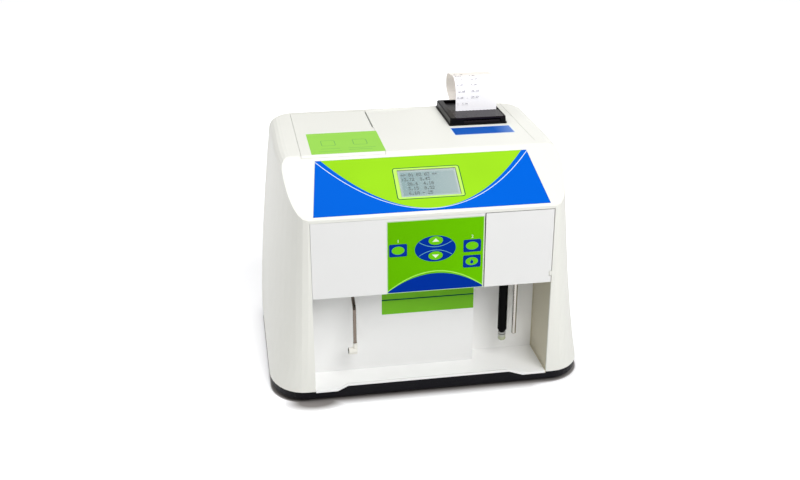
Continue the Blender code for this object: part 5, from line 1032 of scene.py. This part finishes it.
class ANALYZER_OT_pump(Maker, bpy.types.Operator):
    """Pump parts under the hatch"""
    bl_idname = "analyzer.pump"
    bl_label = "Pump"

    def make(self, look):
        dress(moulded("tub_grey", linear(150, 152, 152), 0.5), "pump_tub")
        dress(moulded("track_cream", linear(226, 222, 208), 0.42), "pump_track")
        dress(moulded("rotor_grey", linear(92, 96, 100), 0.4), "pump_rotor")
        dress(moulded("roller_nylon", linear(236, 234, 226), 0.35), "pump_roller_1",
              "pump_roller_2", "pump_roller_3")
        dress(polished("motor_steel", linear(180, 180, 178), 0.3, 1.0, scratch=(1, 1, 0.1)),
              "pump_motor")
        steel = polished("pump_screw_steel", linear(190, 188, 184), 0.25, 1.0)
        spots = [(PUMP_X + sx * TRACK_SCREW, back(PUMP_DEPTH) + sy * TRACK_SCREW,
                  up(TRACK_TOP) + SEAT) for sx in (-1, 1) for sy in (-1, 1)]
        tree = tree_on_points("Screws on the pump", HEAD_SIZES, steel, screw_head)
        grown("pump_screws", spots, [0.0] * len(spots), tree, (look.screw * 0.85, 0.0011), "body")


class ANALYZER_OT_rear(Maker, bpy.types.Operator):
    """Rear panel, its sockets, switch, fan and screws"""
    bl_idname = "analyzer.rear"
    bl_label = "Rear"

    def make(self, look):
        dress(moulded("panel_black", linear(40, 40, 42), 0.55, 0.00004), "rear_panel")
        dress(moulded("socket_black", linear(22, 22, 23), 0.4), "power_inlet", "switch_case")
        dress(moulded("fan_black", linear(28, 28, 30), 0.42), "fan_frame")
        dress(moulded("fan_grey", linear(70, 72, 74), 0.42), "fan_rotor")
        dress(polished("port_steel", linear(186, 186, 184), 0.3, 1.0), "serial_port")
        dress(polished("rocker_red", linear(190, 28, 24), 0.22), "power_rocker")
        steel = polished("rear_screw_steel", linear(190, 188, 184), 0.25, 1.0)
        tree = tree_on_points("Screws on the case", HEAD_SIZES, steel, screw_head)
        spots = [(sx * WALL_SCREW_X, back(REAR_WALL) + SEAT, up(height))
                 for sx in (-1, 1) for height in WALL_SCREW_HEIGHTS]
        spots += [(FAN_X + sx * FAN_SCREW, back(REAR_PLATE) + SEAT, up(FAN_HEIGHT + sy * FAN_SCREW))
                  for sx in (-1, 1) for sy in (-1, 1)]
        grown("rear_screws", spots, [math.radians(-90)] * len(spots), tree,
              (look.screw, 0.0012), "body")
        spots = [(sx * PAN_SCREW_X, back(depth), PAN_BOTTOM - SEAT)
                 for sx in (-1, 1) for depth in PAN_SCREW_DEPTHS]
        grown("base_screws", spots, [math.radians(180)] * len(spots), tree,
              (look.screw * 1.2, 0.0013), "body")


class ANALYZER_OT_works(Maker, bpy.types.Operator):
    """Boards, power supply and sensor cell inside"""
    bl_idname = "analyzer.works"
    bl_label = "Inner works"

    def make(self, look):
        dress(self.board(), "main_board")
        dress(polished("supply_steel", linear(176, 178, 178), 0.34, 1.0), "power_supply")
        dress(polished("cell_steel", linear(190, 190, 188), 0.24, 1.0), "sensor_cell")

    def board(self):
        """Green solder mask with paler tracks."""
        graph = Graph("board_mask")
        spot = graph.node("TexCoord", output="Object")
        tracks = graph.node("TexBrick", inputs={"Vector": spot, "Scale": 160.0,
                                                "Mortar Size": 0.03}, output="Fac")
        colour = graph.mix(tracks * 0.5, linear(12, 78, 44), linear(30, 120, 70))
        graph.set(Base_Color=colour, Roughness=0.4 + 0.1 * graph.noise(300.0))
        return graph.material


class ANALYZER_PT_panel(bpy.types.Panel):
    """Lists the pieces and the look's values"""
    bl_label = "Milk Analyzer"
    bl_space_type = "VIEW_3D"
    bl_region_type = "UI"
    bl_category = "Analyzer"

    def draw(self, context):
        column = self.layout.column()
        for operator in OPERATORS:
            column.operator(operator.bl_idname)
        look = context.scene.analyzer_look
        for name in AnalyzerLook.__annotations__:
            column.prop(look, name)


OPERATORS = (ANALYZER_OT_stage, ANALYZER_OT_shell, ANALYZER_OT_display, ANALYZER_OT_keypad,
             ANALYZER_OT_labels, ANALYZER_OT_printer, ANALYZER_OT_wet_end, ANALYZER_OT_pump,
             ANALYZER_OT_rear, ANALYZER_OT_works)
CLASSES = (AnalyzerLook, *OPERATORS, ANALYZER_PT_panel)


def register():
    for item in CLASSES:
        bpy.utils.register_class(item)
    bpy.types.Scene.analyzer_look = bpy.props.PointerProperty(type=AnalyzerLook)


def unregister():
    del bpy.types.Scene.analyzer_look
    for item in reversed(CLASSES):
        bpy.utils.unregister_class(item)


def main():
    register()
    for operator in OPERATORS:
        group, name = operator.bl_idname.split(".")
        getattr(getattr(bpy.ops, group), name)()


if __name__ == "__main__":
    main()
